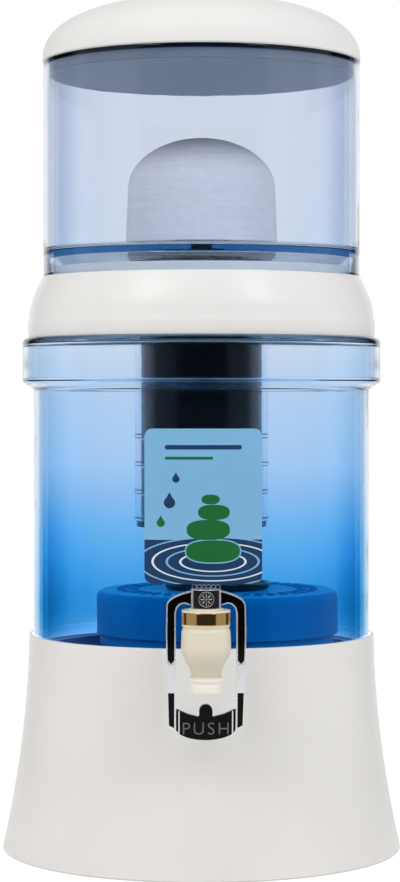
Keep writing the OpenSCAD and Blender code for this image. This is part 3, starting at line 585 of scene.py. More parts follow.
label_w, label_h, label_r, label_x, label_z, label_t = 74, 95.5, 110.5, -0.8, 180.3, 0.4
pond_x, pond_z, fold = 6, 13.5, 1.5
pale, green, navy, paper_white, film_back = range(5)
prints = [(bar(-label_w / 2, 0, label_w / 2, label_h, 5), pale), (bar(-40, -5, 40, 27, 1), navy)]
for k, (a, b) in enumerate(((48, 15.5), (38.5, 12), (29.5, 9), (21, 6.2))):
    prints += [(oval(pond_x, pond_z, a, b, 96, 2.0), paper_white if k % 2 else pale),
               (oval(pond_x, pond_z, a - 1.5, b - 0.75, 96, 2.0), navy)]
prints += [(oval(pond_x, 20, 17.5, 7.6), pale), (oval(pond_x, 20, 16.7, 6.8), green),
           (oval(3, 33.2, 13.4, 6.2), green), (oval(6.5, 44, 9.8, 4.7), green),
           (oval(4.5, 51.9, 5.6, 3.0, power=2.4), green),
           (drop(-21, 50, 3.6), navy), (drop(-26.5, 37.5, 2.6), green), (drop(-17, 64.5, 2.3), navy),
           (bar(-24, 82.6, 24, 85.4, 1.4), navy), (bar(-24, 76.4, 6, 78.2, 0.9), green)]
spots, loops, rules = [], [], []
for outline, _ in prints:
    loops.append(list(range(len(spots), len(spots) + len(outline))))
    spots += [Vector(p) for p in outline]
# Upright folds let the film bend round the tank
strips = int(label_w / 2 / fold)
for k in range(-strips, strips + 1):
    rules.append((len(spots), len(spots) + 1))
    spots += [Vector((k * fold, 0.01)), Vector((k * fold, label_h - 0.01))]
flat, _, cells, _, _, owners = geometry.delaunay_2d_cdt(spots, rules, loops, 0, 1e-5)
shown = [(cell, prints[max(own)][1]) for cell, own in zip(cells, owners) if 0 in own]
used = sorted({v for cell, _ in shown for v in cell})
number = {v: k for k, v in enumerate(used)}
turns = [(flat[v].x + label_x) / label_r for v in used]
label = mesh_piece("label_film", [(label_r * math.sin(t), -label_r * math.cos(t), label_z + flat[v].y)
                                  for t, v in zip(turns, used)],
                   [[number[v] for v in cell] for cell, _ in shown])
# Inks on film: flat, with the faint mottle of a screen print under a clear gloss
for name, colour in (("ink_pale_blue", ink(124, 184, 226)), ("ink_green", ink(6, 112, 48)),
                     ("ink_navy", ink(8, 58, 104)), ("ink_white", ink(222, 238, 248)),
                     ("film_back", ink(214, 222, 228))):
    label.data.materials.append(plastic(name, colour, gloss=0.42, flow=0.05, grain=5200.0, depth=0.000006))
for face, (_, colour) in zip(label.data.polygons, shown):
    face.material_index = colour
with reworked(label) as work:
    bmesh.ops.recalc_face_normals(work, faces=work.faces)
    if sum(f.normal.y for f in work.faces) > 0:
        bmesh.ops.reverse_faces(work, faces=work.faces)
film = label.modifiers.new("film", "SOLIDIFY")
film.thickness, film.offset = label_t / 1000, -1.0
film.material_offset = film.material_offset_rim = film_back
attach(label, "tank")
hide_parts("front_label")


# ---- Mineral basket ------------------------------------------------------------------------
# A blue basket of gloss plastic that stands loose on the tank's floor. Mineral stones lie in its
# body, its lid has two rings of slots, and a black dish is pressed onto the lid's middle.

def kept(node, material):
    """A solid that stays as it is, and gets its material."""
    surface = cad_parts[node].data.materials
    if not surface:
        surface.append(material)
    for k in range(len(surface)):
        surface[k] = material


def painted_lit_top(tree):
    """The basket's blue, given a lighter blue on its flat top as painted light."""
    level = step(tree, "SeparateXYZ", step(tree, "NewGeometry").outputs["True Normal"]).outputs["Z"]
    return blended(tree, stretch(tree, level, 0.75, 0.95), ink(0, 146, 196), ink(0, 192, 246))


basket_blue = plastic("basket_blue", painted_lit_top, gloss=0.36, flow=0.05, grain=1100.0, Specular_IOR_Level=0.04)
kept("basket_body", basket_blue)
basket_x, basket_r, basket_in_r, basket_top = 10.4, 79.25, 77.05, 169
slot_n, slot_rows, slot_long, slot_r = 40, (53.4, 60.93), 1.3, 1.2
basket_lid = turned("basket_lid_moulding", eased(
    [(basket_in_r, 141, 0.3), (basket_r, 141, 0.6), (basket_r, basket_top, 5), (36.5, basket_top),
     (36, basket_top - 0.3), (35.5, basket_top), (0, basket_top), (0, 166.8), (75.55, 166.8),
     (basket_in_r, 165.3)], steps=8), about=(basket_x, 0, 0), steps=144)


def louvres(name, grow, z0, z1):
    """The bars of both rings, grown all round by an amount: the lid's slots, or the lips round them."""
    made = mesh_piece(name, [], [])
    with reworked(made) as work:
        for row, r0 in enumerate(slot_rows):
            for k in range(slot_n):
                turn = Matrix.Rotation(2 * math.pi * (k + row / 2) / slot_n, 4, "Z")
                r = slot_r + grow
                rim = [(r0 + 2.5 + side * (slot_long + r * math.cos(a)), side * r * math.sin(a))
                       for side in (1, -1) for a in [math.radians(d) for d in (-90, -45, 0, 45, 90)]]
                ends = [[work.verts.new(turn @ (Vector((x, y, z)) / 1000) + Vector((basket_x / 1000, 0, 0)))
                         for x, y in rim] for z in (z0, z1)]
                work.faces.new(ends[0][::-1]), work.faces.new(ends[1])
                for i in range(10):
                    work.faces.new((ends[0][i], ends[0][(i + 1) % 10], ends[1][(i + 1) % 10], ends[1][i]))
        bmesh.ops.recalc_face_normals(work, faces=work.faces)
    return made


carve(basket_lid, louvres("slot_lips", 0.55, 167.5, 169.7), "UNION")
carve(basket_lid, louvres("slot_cutter", 0.0, 165, 171), "DIFFERENCE")
shaded(basket_lid)
dress(basket_lid, basket_blue, "basket_top", "basket_lid", "basket_lid")

dish_black = plastic("dish_black", ink(16, 18, 22), gloss=0.22, flow=0.1)
dish = turned("basket_dish_moulding", eased(
    [(0, basket_top), (31.5, basket_top, 0.2)] +
    [(31.5 + 3 * math.sin(math.radians(d)), 172 - 3 * math.cos(math.radians(d))) for d in range(10, 91, 10)] +
    [(33.6 + 0.9 * math.cos(math.radians(d)), 173.1 + 0.9 * math.sin(math.radians(d)))
     for d in range(0, 181, 20)] +
    [(30.5, 170.8, 0.8), (0, 170.8)]), about=(basket_x, 0, 0), steps=128)
dress(dish, dish_black, "basket_top", "basket_dish", "basket_dish")

# Grains: packed cells, each with its own tone, and dark gaps of painted shade between them
grains, put, out = effect("packed_grains", {"Color": (0.5, 0.5, 0.5, 1.0), "Other": (0.3, 0.3, 0.3, 1.0),
                                            "Size": 0.002},
                          {"Color": "Color", "Height": "Float"})
at = own(grains)
count = sums(grains, "DIVIDE", 1.0, put["Size"])
cell = step(grains, "TexVoronoi", Vector=at, Scale=count).outputs
rim = step(grains, "TexVoronoi", Vector=at, Scale=count, feature="DISTANCE_TO_EDGE").outputs["Distance"]
mixed = blended(grains, step(grains, "SeparateColor", cell["Color"]).outputs[0], put["Color"], put["Other"])
# Painted shade: the colour falls to a quarter towards the gaps
lit = stretch(grains, stretch(grains, rim, 0.0, 0.12, 1.0, 0.0), 0.0, 1.0, 1.0, 0.25)
feed(grains, out, {"Color": dimmed(grains, mixed, lit), "Height": stretch(grains, rim, 0.0, 0.35)})


def bed(name, colour, other, size, rough=0.8):
    """A bed of loose grains."""
    material, tree, shader = finish(name, Roughness=rough)
    skin = placed(tree, grains, Color=colour, Other=other, Size=size)
    feed(tree, shader.inputs, {"Base Color": skin["Color"]})
    relief(tree, shader, skin["Height"], size * 0.35)
    return material


stone_mix = bed("mineral_stone", ink(176, 160, 132), ink(128, 122, 110), 0.011, 0.6)
stone_r, stone_z, stone_pitch = 0.0074, 0.14125, 17
rng = random.Random(7)
spots = [(0, 0)] + [(basket_r * share * math.cos(t), basket_r * share * math.sin(t))
                    for k, share in enumerate((0.26, 0.52, 0.78))
                    for n in [math.floor(math.pi * basket_r * share * 2 / stone_pitch)]
                    for t in [2 * math.pi * (i + k / 3) / n for i in range(n)]]
stones = mesh_piece("mineral_pebbles", [], [])
with reworked(stones) as work:
    for x, y in spots:
        made = bmesh.ops.create_icosphere(work, subdivisions=3, radius=stone_r)["verts"]
        squeeze = Vector((rng.uniform(0.82, 1), rng.uniform(0.82, 1), rng.uniform(0.7, 0.95)))
        spin = Matrix.Rotation(rng.uniform(0, math.pi), 3, "Z")
        for v in made:
            knob = math.sin(v.co.x * 900 + x) * math.sin(v.co.y * 800 + y) * math.sin(v.co.z * 850)
            v.co = spin @ Vector([c * s * (1 - 0.05 * (1 + knob)) for c, s in zip(v.co, squeeze)])
            v.co += Vector(((x + basket_x) / 1000, y / 1000, stone_z - stone_r * (1 - squeeze.z * 0.95)))
shaded(stones, 180)
dress(stones, stone_mix, "basket", "mineral_stones", "mineral_stones")


# ---- Tap -----------------------------------------------------------------------------------
# A push tap of cream nylon: a bell-shaped body with a ringed spout, a neck with a flange and a
# threaded shank that passes through the tank's pad, two rubber washers and a plastic nut.

tap_at, thread_pitch = (0, -152, tap_z), 1.4


def cream_by_height(tree):
    """Cream with painted light and shade: lighter at the thin spout, as if light came through it, and darker
    in the hollow over its ring as painted shade.
    """
    height = spot(tree)["Z"]
    hollow = blended(tree, stretch(tree, height, 0.134, 0.148), ink(218, 210, 190), ink(232, 224, 203))
    return blended(tree, stretch(tree, height, 0.1265, 0.1285, 1.0, 0.0), hollow, ink(250, 246, 234))


cream = plastic("cream_nylon", cream_by_height, gloss=0.30, flow=0.05, grain=900.0,
                Subsurface_Weight=0.25, Subsurface_Scale=0.003)
tap_body = turned("tap_body_moulding", eased(
    [(5.6, -36.5, 0.3), (8.9, -36.5, 0.3), (9.6, -35.3, 0.3), (9.6, -32, 0.4), (8.8, -31, 0.3),
     (8.8, -29.5, 0.3), (9.9, -28.9, 0.3), (9.9, -27.1, 0.4)] + rise(9, -26.3, 15, -9, 24) +
    [(15, -7, 0.8), (14.7, 0.8, 0.8), (13.8, 2.8, 0.3), (13.8, 3.4, 0.1), (14.5, 3.5, 0.3), (14.5, 4.9, 0.3),
     (12.1, 4.9), (12.1, 11), (10.6, 11), (10.6, -8), (5.2, -12.5), (5.2, -14.5), (5.6, -14.5)]),
    about=tap_at, steps=96)
dress(tap_body, cream, "tank", "tap_body", "tap_body")


def thread(turns, z, crest_r, root_r):
    """The zigzag outline of a thread that starts at a height."""
    return [p for k in range(turns)
            for p in ((crest_r, z + thread_pitch * k), (root_r, z + thread_pitch * (k + 0.5)))]


tap_shank = turned("tap_shank_moulding", eased(
    [(0, 11.2), (6.5, 11.2), (6.5, 36, 2), (13, 36, 0.8), (13, 39, 0.5), (8, 39, 0.3), (8, 49.5)] +
    thread(6, 50.2, 7.95, 7.5) + [(7.6, 58.7, 0.5), (5, 58.7, 0.3), (5, 13), (0, 13)]),
    about=tap_at, along="Y", steps=96)
dress(tap_shank, cream, "tank", "tap_body")
washer_white = plastic("washer_rubber_white", ink(214, 214, 210), gloss=0.62, flow=0.08, grain=2600.0)
washer_in_r, washer_r, washer_t = 8.1, 13, 2
for name, y in (("tap_outer_washer", 39), ("tap_inner_washer", 46.7)):
    washer = turned(name + "_ring", eased(
        [(washer_in_r, y, 0.3), (washer_r, y, 0.5), (washer_r, y + washer_t, 0.5),
         (washer_in_r, y + washer_t, 0.3)]), about=tap_at, along="Y", steps=96)
    dress(washer, washer_white, "tank", name, name)
kept("tap_nut", plastic("nut_white", ink(232, 230, 224), gloss=0.36))


# ---- Bonnet and valve ----------------------------------------------------------------------
# The cream cap that closes the body, the gilt band pressed round its skirt, and the sprung
# steel stem with its piston and rubber cup.

bonnet = turned("bonnet_moulding", eased(
    [(2.8, 8.5), (10.5, 8.5), (10.5, 11), (12.2, 11), (12.2, 4.9), (13.5, 4.9), (13.5, 12.3),
     (14.7, 12.3, 0.1), (14.7, 13.5, 0.7), (10.6, 13.5, 0.3), (9.8, 14.5, 0.4), (2.8, 14.5, 0.3)]),
    about=tap_at, steps=96)
dress(bonnet, cream, "tank", "bonnet", "bonnet")

# Handling marks: fine hairlines and dull patches on polished metal
marks, put, out = effect("handling_marks", {"Gloss": 0.08, "Dull": 0.12, "Fine": 900.0},
                         {"Roughness": "Float", "Height": "Float"})
at = own(marks)
drawn = step(marks, "Mapping", at, Scale=(1.0, 1.0, 0.08)).outputs[0]
dulled = times(marks, put["Dull"], stretch(marks, noise(marks, at, 160.0, 4.0), 0.45, 0.75))
feed(marks, out, {"Roughness": sums(marks, "ADD", put["Gloss"], dulled),
                  "Height": noise(marks, drawn, put["Fine"], 3.0)})


def metal(name, colour, gloss, dull=0.10, **sockets):
    """A polished or plated metal."""
    material, tree, shader = finish(name, **{"Base_Color": colour, "Metallic": 1.0, **sockets})
    skin = placed(tree, marks, Gloss=gloss, Dull=dull)
    feed(tree, shader.inputs, {"Roughness": skin["Roughness"]})
    relief(tree, shader, skin["Height"], 0.000004)
    return material


gilt = metal("gilt_plate", ink(250, 204, 132), 0.07, dull=0.06)
steel = metal("spring_steel", ink(196, 198, 202), 0.24, dull=0.2)
band = turned("gilt_band_ring", eased(
    [(13.6, 4.9), (14.9, 4.9, 0.35), (14.9, 12.3, 0.35), (13.6, 12.3)]), about=tap_at, steps=128)
dress(band, gilt, "tank", "gilt_band", "gilt_band")
kept("valve_stem", steel)
kept("valve_spring", steel)
rubber_dark = plastic("rubber_dark", ink(52, 53, 56), gloss=0.7, flow=0.1, grain=2200.0, depth=0.00003)
kept("valve_seal", rubber_dark)


# ---- Lever ---------------------------------------------------------------------------------
# The lever is die-cast and chromed, with black enamel let into its arms inside a raised border. A
# black push plate with grey raised letters sits between them, and a fluted black sleeve with a
# rosette wraps its head, under a crown of plated wire loops.

lever_t, lever_drop, lever_back, bend_z, pocket_t = 5.0, 66.2, 13.0, -3.0, 1.2
head_low, head_top, head_r, sleeve_r = 14.8, 25.8, 9.0, 9.4


def at_lever(x, depth, z):
    """A point of the lever, which leans back below its bend, from its depth behind the front face."""
    lean = lever_back * (max(0.0, bend_z - z) / (bend_z + lever_drop)) ** 1.6
    return (tap_at[0] + x, tap_at[1] + lean - lever_t / 2 + depth, tap_at[2] + z)


def sheet(name, solids, holes, front, back, edge=0.0, pitch=2.0):
    """A plate that follows the lever's lean, from flat outlines in (x, z), with rounded front edges."""
    points, loops, rows = [], [], []
    for outline in solids + holes:
        area = sum(a[0] * b[1] - a[1] * b[0] for a, b in zip(outline, outline[1:] + outline[:1]))
        loops.append(list(range(len(points), len(points) + len(outline))))
        points += [Vector(p) for p in (outline if area > 0 else outline[::-1])]
    low, high = min(p.y for p in points), max(p.y for p in points)
    for k in range(math.ceil(low / pitch), math.ceil(high / pitch)):
        rows.append((len(points), len(points) + 1))
        points += [Vector((-30, k * pitch)), Vector((30, k * pitch))]
    flat, _, cells, _, _, owners = geometry.delaunay_2d_cdt(points, rows, loops, 0, 1e-5)
    cells = [list(cell) for cell, own in zip(cells, owners) if own and max(own) < len(solids)]
    edges = [(cell[k - 1], cell[k]) for cell in cells for k in range(len(cell))]
    once = set(edges)
    rim = [(a, b) for a, b in edges if (b, a) not in once]
    n = len(flat)
    piece = mesh_piece(name, [at_lever(p.x, depth, p.y) for depth in (front, back) for p in flat],
                       cells + [[v + n for v in cell[::-1]] for cell in cells] +
                       [(b, a, a + n, b + n) for a, b in rim])
    with reworked(piece) as work:
        bmesh.ops.delete(work, geom=[v for v in work.verts if not v.link_faces], context="VERTS")
        bmesh.ops.recalc_face_normals(work, faces=work.faces)
        if edge:
            sharp = [e for e in work.edges if len(e.link_faces) == 2 and e.calc_face_angle() > 1.0 and
                     any(f.normal.y < -0.7 for f in e.link_faces)]
            bmesh.ops.bevel(work, geom=sharp, offset=edge / 1000, segments=3, profile=0.5, affect="EDGES",
                            clamp_overlap=True)
    return shaded(piece, 40)


def joined(first, *others):
    """Adds the other pieces' meshes to the first piece."""
    with reworked(first) as work:
        for piece in others:
            work.from_mesh(piece.data)
    for piece in others:
        bpy.data.objects.remove(piece)
    return first


def both(*outlines):
    """The outlines and their mirror images, for the lever's two arms."""
    return list(outlines) + [[(-x, z) for x, z in line] for line in outlines]


def wedge(name, r_in, outer, half_angle, z0, z1, steps=168):
    """A sector of tube that faces the front; outer(angle) is its outer radius."""
    turns = [math.radians(half_angle) * (2 * k / steps - 1) for k in range(steps + 1)]
    plan = [(outer(t) * math.sin(t), -outer(t) * math.cos(t)) for t in turns]
    plan += [(r_in * math.sin(t), -r_in * math.cos(t)) for t in turns[::-1]]
    n = len(plan)
    points = [(tap_at[0] + x, tap_at[1] + y, tap_at[2] + z) for z in (z0, z1) for x, y in plan]
    faces = [(k, (k + 1) % n, n + (k + 1) % n, n + k) for k in range(n)]
    faces += [(a + k, a + k + 1, a + n - k - 2, a + n - k - 1) for a in (0, n) for k in range(steps)]
    return closed(mesh_piece(name, points, faces), 50)


def wire(name, paths, r, sides=10):
    """Round wire along looped or open paths, each given with the normal of the plane it lies in."""
    points, faces = [], []
    for path, across, looped in paths:
        n, first, across = len(path), len(points), Vector(across).normalized()
        for k, p in enumerate(path):
            ahead = Vector(path[(k + 1) % n] if looped or k < n - 1 else p)
            behind = Vector(path[k - 1] if looped or k else p)
            side = (ahead - behind).normalized().cross(across)
            points += [Vector(p) + r * (math.cos(a) * across + math.sin(a) * side) for a in around(sides)]
        for k in range(n if looped else n - 1):
            a, b = first + k * sides, first + (k + 1) % n * sides
            faces += [(a + i, a + (i + 1) % sides, b + (i + 1) % sides, b + i) for i in range(sides)]
        if not looped:
            faces += [list(range(first, first + sides))[::-1],
                      list(range(first + (n - 1) * sides, first + n * sides))]
    return closed(mesh_piece(name, points, faces), 60)


arm = eased([(7.5, 25.1), (13.1, 23.9, 14), (18.2, 22.0, 12), (21.9, 19.8, 6), (23.7, 17.0, 4), (24.0, 0, 90),
             (23.7, -18, 90), (22.7, -56.9, 1.2), (18.1, -59.7, 0.5), (18.1, 11.8, 5), (17.2, 14.8, 3),
             (15.4, 16.7, 2.5), (12.9, 17.4, 3), (8.8, 15.8, 3)], steps=6)
upper_pocket = eased([(8.9, 24.2), (13.0, 23.1, 14), (17.9, 21.2, 12), (21.3, 19.2, 5), (22.95, 16.7, 3.4),
                      (23.25, 0, 90), (22.95, -16.8, 1.5), (20.95, -19, 0.2), (18.95, -16.8, 1.5),
                      (18.95, 11.9, 5), (18.0, 15.3, 3), (15.8, 17.5, 2.5), (12.9, 18.2, 3), (8.9, 16.8)],
                     steps=6)
lower_pocket = eased([(18.95, -36.7, 0.2), (22.7, -36.7, 0.2), (22.15, -56.8, 0.3), (18.95, -58.5, 0.3)])
bright = metal("bright_border", ink(240, 240, 243), 0.24, Metallic=0.6)
enamel = plastic("black_enamel", ink(7, 7, 9), gloss=0.16, flow=0.2, grain=700.0, depth=0.00001,
                 Specular_IOR_Level=0.12)
front_layer = sheet("lever_border", both(arm), both(upper_pocket, lower_pocket), 0, pocket_t, edge=0.34)
back_layer = sheet("lever_arms", both(arm), [], pocket_t, lever_t)
core_r, room_r = 8.1, 4.9
head_core = turned("lever_head_core", eased(
    [(0, head_low), (core_r, head_low, 0.3), (core_r, head_top, 0.3), (0, head_top)]), about=tap_at, steps=96)
carve(head_core, turned("stem_room", [(0, head_low - 1), (room_r, head_low - 1), (room_r, 24.6), (0, 24.6)],
                        about=tap_at, steps=64), "DIFFERENCE")
head_back = wedge("lever_head_back", 8.05, lambda t: head_r, 123, head_low, head_top)
# The wedge faces the front, so it is turned half round
for v in head_back.data.vertices:
    v.co.x, v.co.y = -v.co.x, 2 * tap_at[1] / 1000 - v.co.y
lever_frame = joined(front_layer, back_layer, head_core, head_back)
dress(lever_frame, bright, "lever", "lever_frame", "lever_frame")
inlays = sheet("lever_enamel", both(upper_pocket, lower_pocket), [], 0.08, pocket_t)
dress(inlays, enamel, "lever", "lever_inlays", "lever_inlays")

plate_x, plate_low_z, tab_r, tab_z = 17.9, -66.2, 4.0, -47.8
tab = [(tab_r * math.cos(a), tab_z + tab_r * math.sin(a)) for a in [math.radians(10 * k) for k in range(19)]]
# The plate's lower edge and right side, which its left side mirrors
plate_low = [(5.4, -65.8, 25), (10.7, -64.7, 14), (15.4, -62.7, 6), (plate_x, -59.9, 1),
             (plate_x, -46.6, 0.3), (10.7, -49.9, 20), (tab_r, -51.6, 0.6)]
plate = eased(tab + [(-p[0],) + p[1:] for p in plate_low[::-1]] + [(0, plate_low_z, 30)] + plate_low)
push_plate = sheet("push_plate_moulding", [plate], [], 0.4, lever_t - 0.4, edge=0.35)
dress(push_plate, enamel, "lever", "push_plate", "push_plate")
trim = [(15.7, -61.8), (16.5, -61.8), (16.5, -47.8), (15.7, -47.8)]
trims = sheet("plate_trim_strips", both(trim), [], -0.15, 0.45, edge=0.2)
dress(trims, bright, "lever", "plate_trims", "plate_trims")
kept("lever_pin", steel)

# Letters, moulded on the plate
letters_w, letters_h, letters_z, letters_t, letters_sink = 27.6, 7.6, -62.6, 0.4, 0.1
script = bpy.data.curves.new("push_letters", "FONT")
script.body, script.space_character, script.resolution_u, script.offset = "PUSH", 1.24, 6, -0.007
typed = linked("push_letters", script)
bpy.context.view_layer.update()
flat = settled(typed)
bpy.data.objects.remove(typed)
low_x, high_x = min(v.co.x for v in flat.vertices), max(v.co.x for v in flat.vertices)
low_y, high_y = min(v.co.y for v in flat.vertices), max(v.co.y for v in flat.vertices)
for v in flat.vertices:
    x = ((v.co.x - low_x) / (high_x - low_x) - 0.5) * letters_w
    z = letters_z + (v.co.y - low_y) / (high_y - low_y) * letters_h
    v.co = Vector(at_lever(x, letters_sink, z)) / 1000
letters = linked("push_letters", flat)
raised = letters.modifiers.new("raised", "SOLIDIFY")
raised.thickness, raised.offset = letters_t / 1000, -1.0 if flat.polygons[0].normal.y < 0 else 1.0
letter_grey = plastic("letter_grey", ink(108, 109, 113), gloss=0.4, flow=0.15, grain=2400.0)
dress(letters, letter_grey, "lever", "push_plate")

# The sleeve's flutes run up and down, and a bright bead closes each of its ends
flutes, flute_deep, sleeve_half, sleeve_in_r = 26, 0.28, 55, 8.16


def fluted(angle):
    """The sleeve's outer radius, which dips once for each flute."""
    turn = 2 * math.pi * flutes * angle / math.radians(2 * sleeve_half)
    return sleeve_r - flute_deep / 2 * (1 - math.cos(turn))


sleeve = wedge("head_sleeve_fluted", sleeve_in_r, fluted, sleeve_half, head_low + 0.3, head_top - 0.35,
               steps=flutes * 8)
sleeve_black = plastic("sleeve_black", ink(34, 34, 37), gloss=0.34, flow=0.15, grain=1800.0)
dress(sleeve, sleeve_black, "lever", "head_sleeve", "head_sleeve")


def round_head(angle, r, z):
    """A point at an angle from the front, in degrees, round the head's axis."""
    return (tap_at[0] + r * math.sin(math.radians(angle)), tap_at[1] - r * math.cos(math.radians(angle)),
            tap_at[2] + z)


beads = [([round_head(turn, 9.1, z) for z in (head_low + 0.1, 18, 22, head_top - 0.1)],
          (math.sin(math.radians(turn)), -math.cos(math.radians(turn)), 0), False) for turn in (-58.5, 58.5)]
beads += [([round_head(a, 9.05, head_top - 0.15) for a in range(-58, 59, 4)], (0, 0, 1), False)]
dress(wire("sleeve_beads", beads, 0.22), bright, "lever", "head_sleeve")

disc_r, disc_low, disc_top = 8.7, head_top - 0.2, head_top + 0.06
head_disc = turned("head_top_disc", eased(
    [(0, disc_low), (disc_r, disc_low), (disc_r, disc_top, 0.1), (0, disc_top)]), about=tap_at, steps=96)
dress(head_disc, enamel, "lever", "head_sleeve")

# The rosette: a round dish with a bright rim, eight petals, eight leaves between them and a boss
silver = metal("rosette_silver", ink(196, 196, 200), 0.26, dull=0.2, Metallic=0.8)
rosette_r, rosette_y, rosette_z = 4.45, tap_at[1] - sleeve_r, tap_at[2] + 20.3
rim_path = [(rosette_r * math.cos(a), rosette_y - 0.75, rosette_z + rosette_r * math.sin(a))
            for a in around(64)]
rosette = wire("rosette", [(rim_path, (0, 1, 0), True)], 0.26, 12)
with reworked(rosette) as work:
    middle = Matrix.Scale(0.001, 4) @ Matrix.Translation((0, rosette_y - 0.62, rosette_z))
    for count, reach, length, width, twist in ((8, 2.4, 1.35, 0.46, 0), (8, 3.5, 0.42, 0.26, 22.5),
                                               (1, 0, 0.62, 0.62, 0)):
        for k in range(count):
            turn = Matrix.Rotation(math.radians(twist + 360 / count * k), 4, "Y")
            shape = turn @ Matrix.Translation((reach, 0, 0)) @ Matrix.Diagonal((length, 0.42, width, 1))
            bmesh.ops.create_uvsphere(work, u_segments=16, v_segments=10, radius=1, matrix=middle @ shape)
shaded(rosette, 60)
dress(rosette, silver, "lever", "head_emblem", "head_emblem")
ground = turned("rosette_ground", eased([(0, -0.62), (4.4, -0.62, 0.1), (4.4, 0.7), (0, 0.7)]),
                about=(0, rosette_y, rosette_z), along="Y", steps=64)
dress(ground, enamel, "lever", "head_emblem")

# Crown: upright loops of wire, side by side along the front of a ring
crown_n, crown_r, loop_pitch, loop_half, loop_rise = 6, 8.6, 2.8, 1.35, 1.45
loops = [([round_head(a, crown_r, head_top + 0.12) for a in range(0, 360, 5)], (0, 0, 1), True)]
for k in range(crown_n):
    loop_x = loop_pitch * (k - (crown_n - 1) / 2)
    loop = [round_head(math.degrees(math.asin((loop_x + loop_half * math.sin(t)) / crown_r)), crown_r,
                       head_top + 1.65 - loop_rise * math.cos(t)) for t in around(32)]
    loops += [(loop, (loop_x, -math.sqrt(crown_r ** 2 - loop_x ** 2), 0), True)]
dress(wire("crown_loops", loops, 0.15), silver, "lever", "crown", "crown")


# ---- Middle ring ---------------------------------------------------------------------------
# The white moulding between the tanks. Its upright band sits on the lower tank's shoulder, its
# sloped side leads up to the upper tank, and the cartridge hangs in the hole of its web.

def slope(inset):
    """The sloped side's outline, set in from its outer face."""
    return [(104 + 9 * math.cos(math.pi / 2 * k / 20) - inset, 347 + 27 * k / 20) for k in range(21)]


web_top, web_under, web_hole_r = 374, 371, 44.75
ring = turned("middle_ring_moulding", eased(
    [(110.8, 334, 0.4), (113.4, 334, 0.5), (114, 339), (114, 343, 1.2)] + slope(0)[1:-1] +
    [(104, web_top, 0.5), (100.2, web_top, 0.3), (100.2, 380, 0.5), (97.8, 380, 0.5), (97.8, web_top, 0.5),
     (web_hole_r, web_top, 0.6), (web_hole_r, web_under, 0.6)] +
    [p for p in slope(2.6) if p[1] < web_under - 0.1][::-1] + [(110.8, 344)]))
dress(ring, plastic("white_moulding", ink(238, 236, 234)), "upper", "middle_ring", "middle_ring")


# ---- Cartridge -----------------------------------------------------------------------------
# The hanging cartridge: a black screwed cap with a gasket, a clear shell with a ring at each
# stage, and inside it carbon, sand, zeolite and minerals, with felt pads between them.

def faint(tree):
    """Hardly tinted plastic."""
    tint = step(tree, "RGB").outputs[0]
    tint.default_value = walled(226, 236, 246)
    return tint


shell_clear = clear("cartridge_clear", faint, (0.5, 0.7, 0.95, 1), 8.0, Specular_Tint=(0.5, 0.5, 0.5, 1.0))
cap_black = plastic("cap_black", ink(20, 21, 24), gloss=0.4, flow=0.15)
kept("cartridge_cap", cap_black)
kept("cartridge_gasket", rubber_dark)
kept("cartridge_foot", plastic("foot_navy", ink(18, 36, 84), gloss=0.3))
kept("carbon_bed", bed("carbon_grains", ink(13, 15, 20), ink(5, 6, 9), 0.0011, 0.7))
kept("sand_bed", bed("sand_grains", ink(52, 52, 56), ink(34, 34, 38), 0.0009))
kept("zeolite_bed", bed("zeolite_grains", ink(48, 50, 56), ink(28, 30, 36), 0.0024))
kept("mineral_bed", bed("mineral_grains", ink(44, 40, 40), ink(26, 24, 26), 0.0030))
felt, tree, shader = finish("felt_white", Roughness=0.95, Sheen_Weight=0.4)
fibre = noise(tree, own(tree), 2400.0, 5.0, Distortion=1.5)
tint = blended(tree, stretch(tree, fibre, 0.35, 0.65), ink(196, 190, 178), ink(232, 228, 218))
feed(tree, shader.inputs, {"Base Color": tint})
relief(tree, shader, fibre, 0.0003)
kept("felt_pads", felt)

shell_r, shell_in_r, shell_ring_r, shell_low, shell_top, stage = 43.75, 40.15, 44.35, 214.5, 355, 18.2
shell_line = [(shell_in_r, shell_low, 0.3)]
for k in range(4):
    z = shell_low + stage * k
    shell_line += [(shell_ring_r, z, 0.3), (shell_ring_r, z + 1.6, 0.3), (shell_r, z + 2.2, 0.2)]
    if k < 3:
        shell_line += [(shell_r, z + 17.6, 0.2)]
shell_line += [(shell_r, 310), (shell_r, shell_top, 0.4), (shell_in_r, shell_top, 0.4)]
cart_shell = turned("cartridge_shell_wall", eased(shell_line), steps=144)
dress(cart_shell, shell_clear, "upper", "cartridge_shell", "cartridge_shell")


# ---- Upper tank ----------------------------------------------------------------------------
# A clear vessel with a cold grey-blue tint. It has a floor for the ceramic dome and a skirt under
# the floor that stands on the middle ring.

def pale_blue(tree):
    """The upper tank's tint, a little bluer low down. Its rim is painted dark grey-blue, as painted shade for
    the dark line that its rounded edge shows.
    """
    up = spot(tree)["Z"]
    wall = blended(tree, stretch(tree, up, 0.39, 0.47), walled(225, 233, 249), walled(229, 233, 248))
    return blended(tree, stretch(tree, up, 0.5113, 0.5121), wall, ink(92, 116, 146))


upper_r, upper_in_r, upper_foot, upper_top, upper_floor, stem_hole_r = 104, 100.5, 374, 514.5, 390, 7.5
tank_pale = clear("tank_pale", pale_blue, (0.34, 0.62, 0.80, 1), 28.0, blue=1.6, strip=0.632, pale=0.8,
                  slanted=18.0, glow_z=0.3865)
upper_shell = turned("upper_tank_shell", eased(
    [(upper_in_r, upper_foot, 0.4), (103.4, upper_foot, 0.4), (upper_r, 375.5)] +
    [(upper_r, z) for z in (400, 430, 460, 490)] + [(upper_r, upper_top, 1), (upper_in_r, upper_top, 0.6)] +
    [(upper_in_r, z) for z in (490, 460, 430, 400)] +
    [(upper_in_r, upper_floor, 3), (stem_hole_r, upper_floor, 0.4), (stem_hole_r, 386, 0.4),
     (upper_in_r, 386, 0.6)]))
dress(upper_shell, tank_pale, "upper", "upper_tank", "upper_tank")


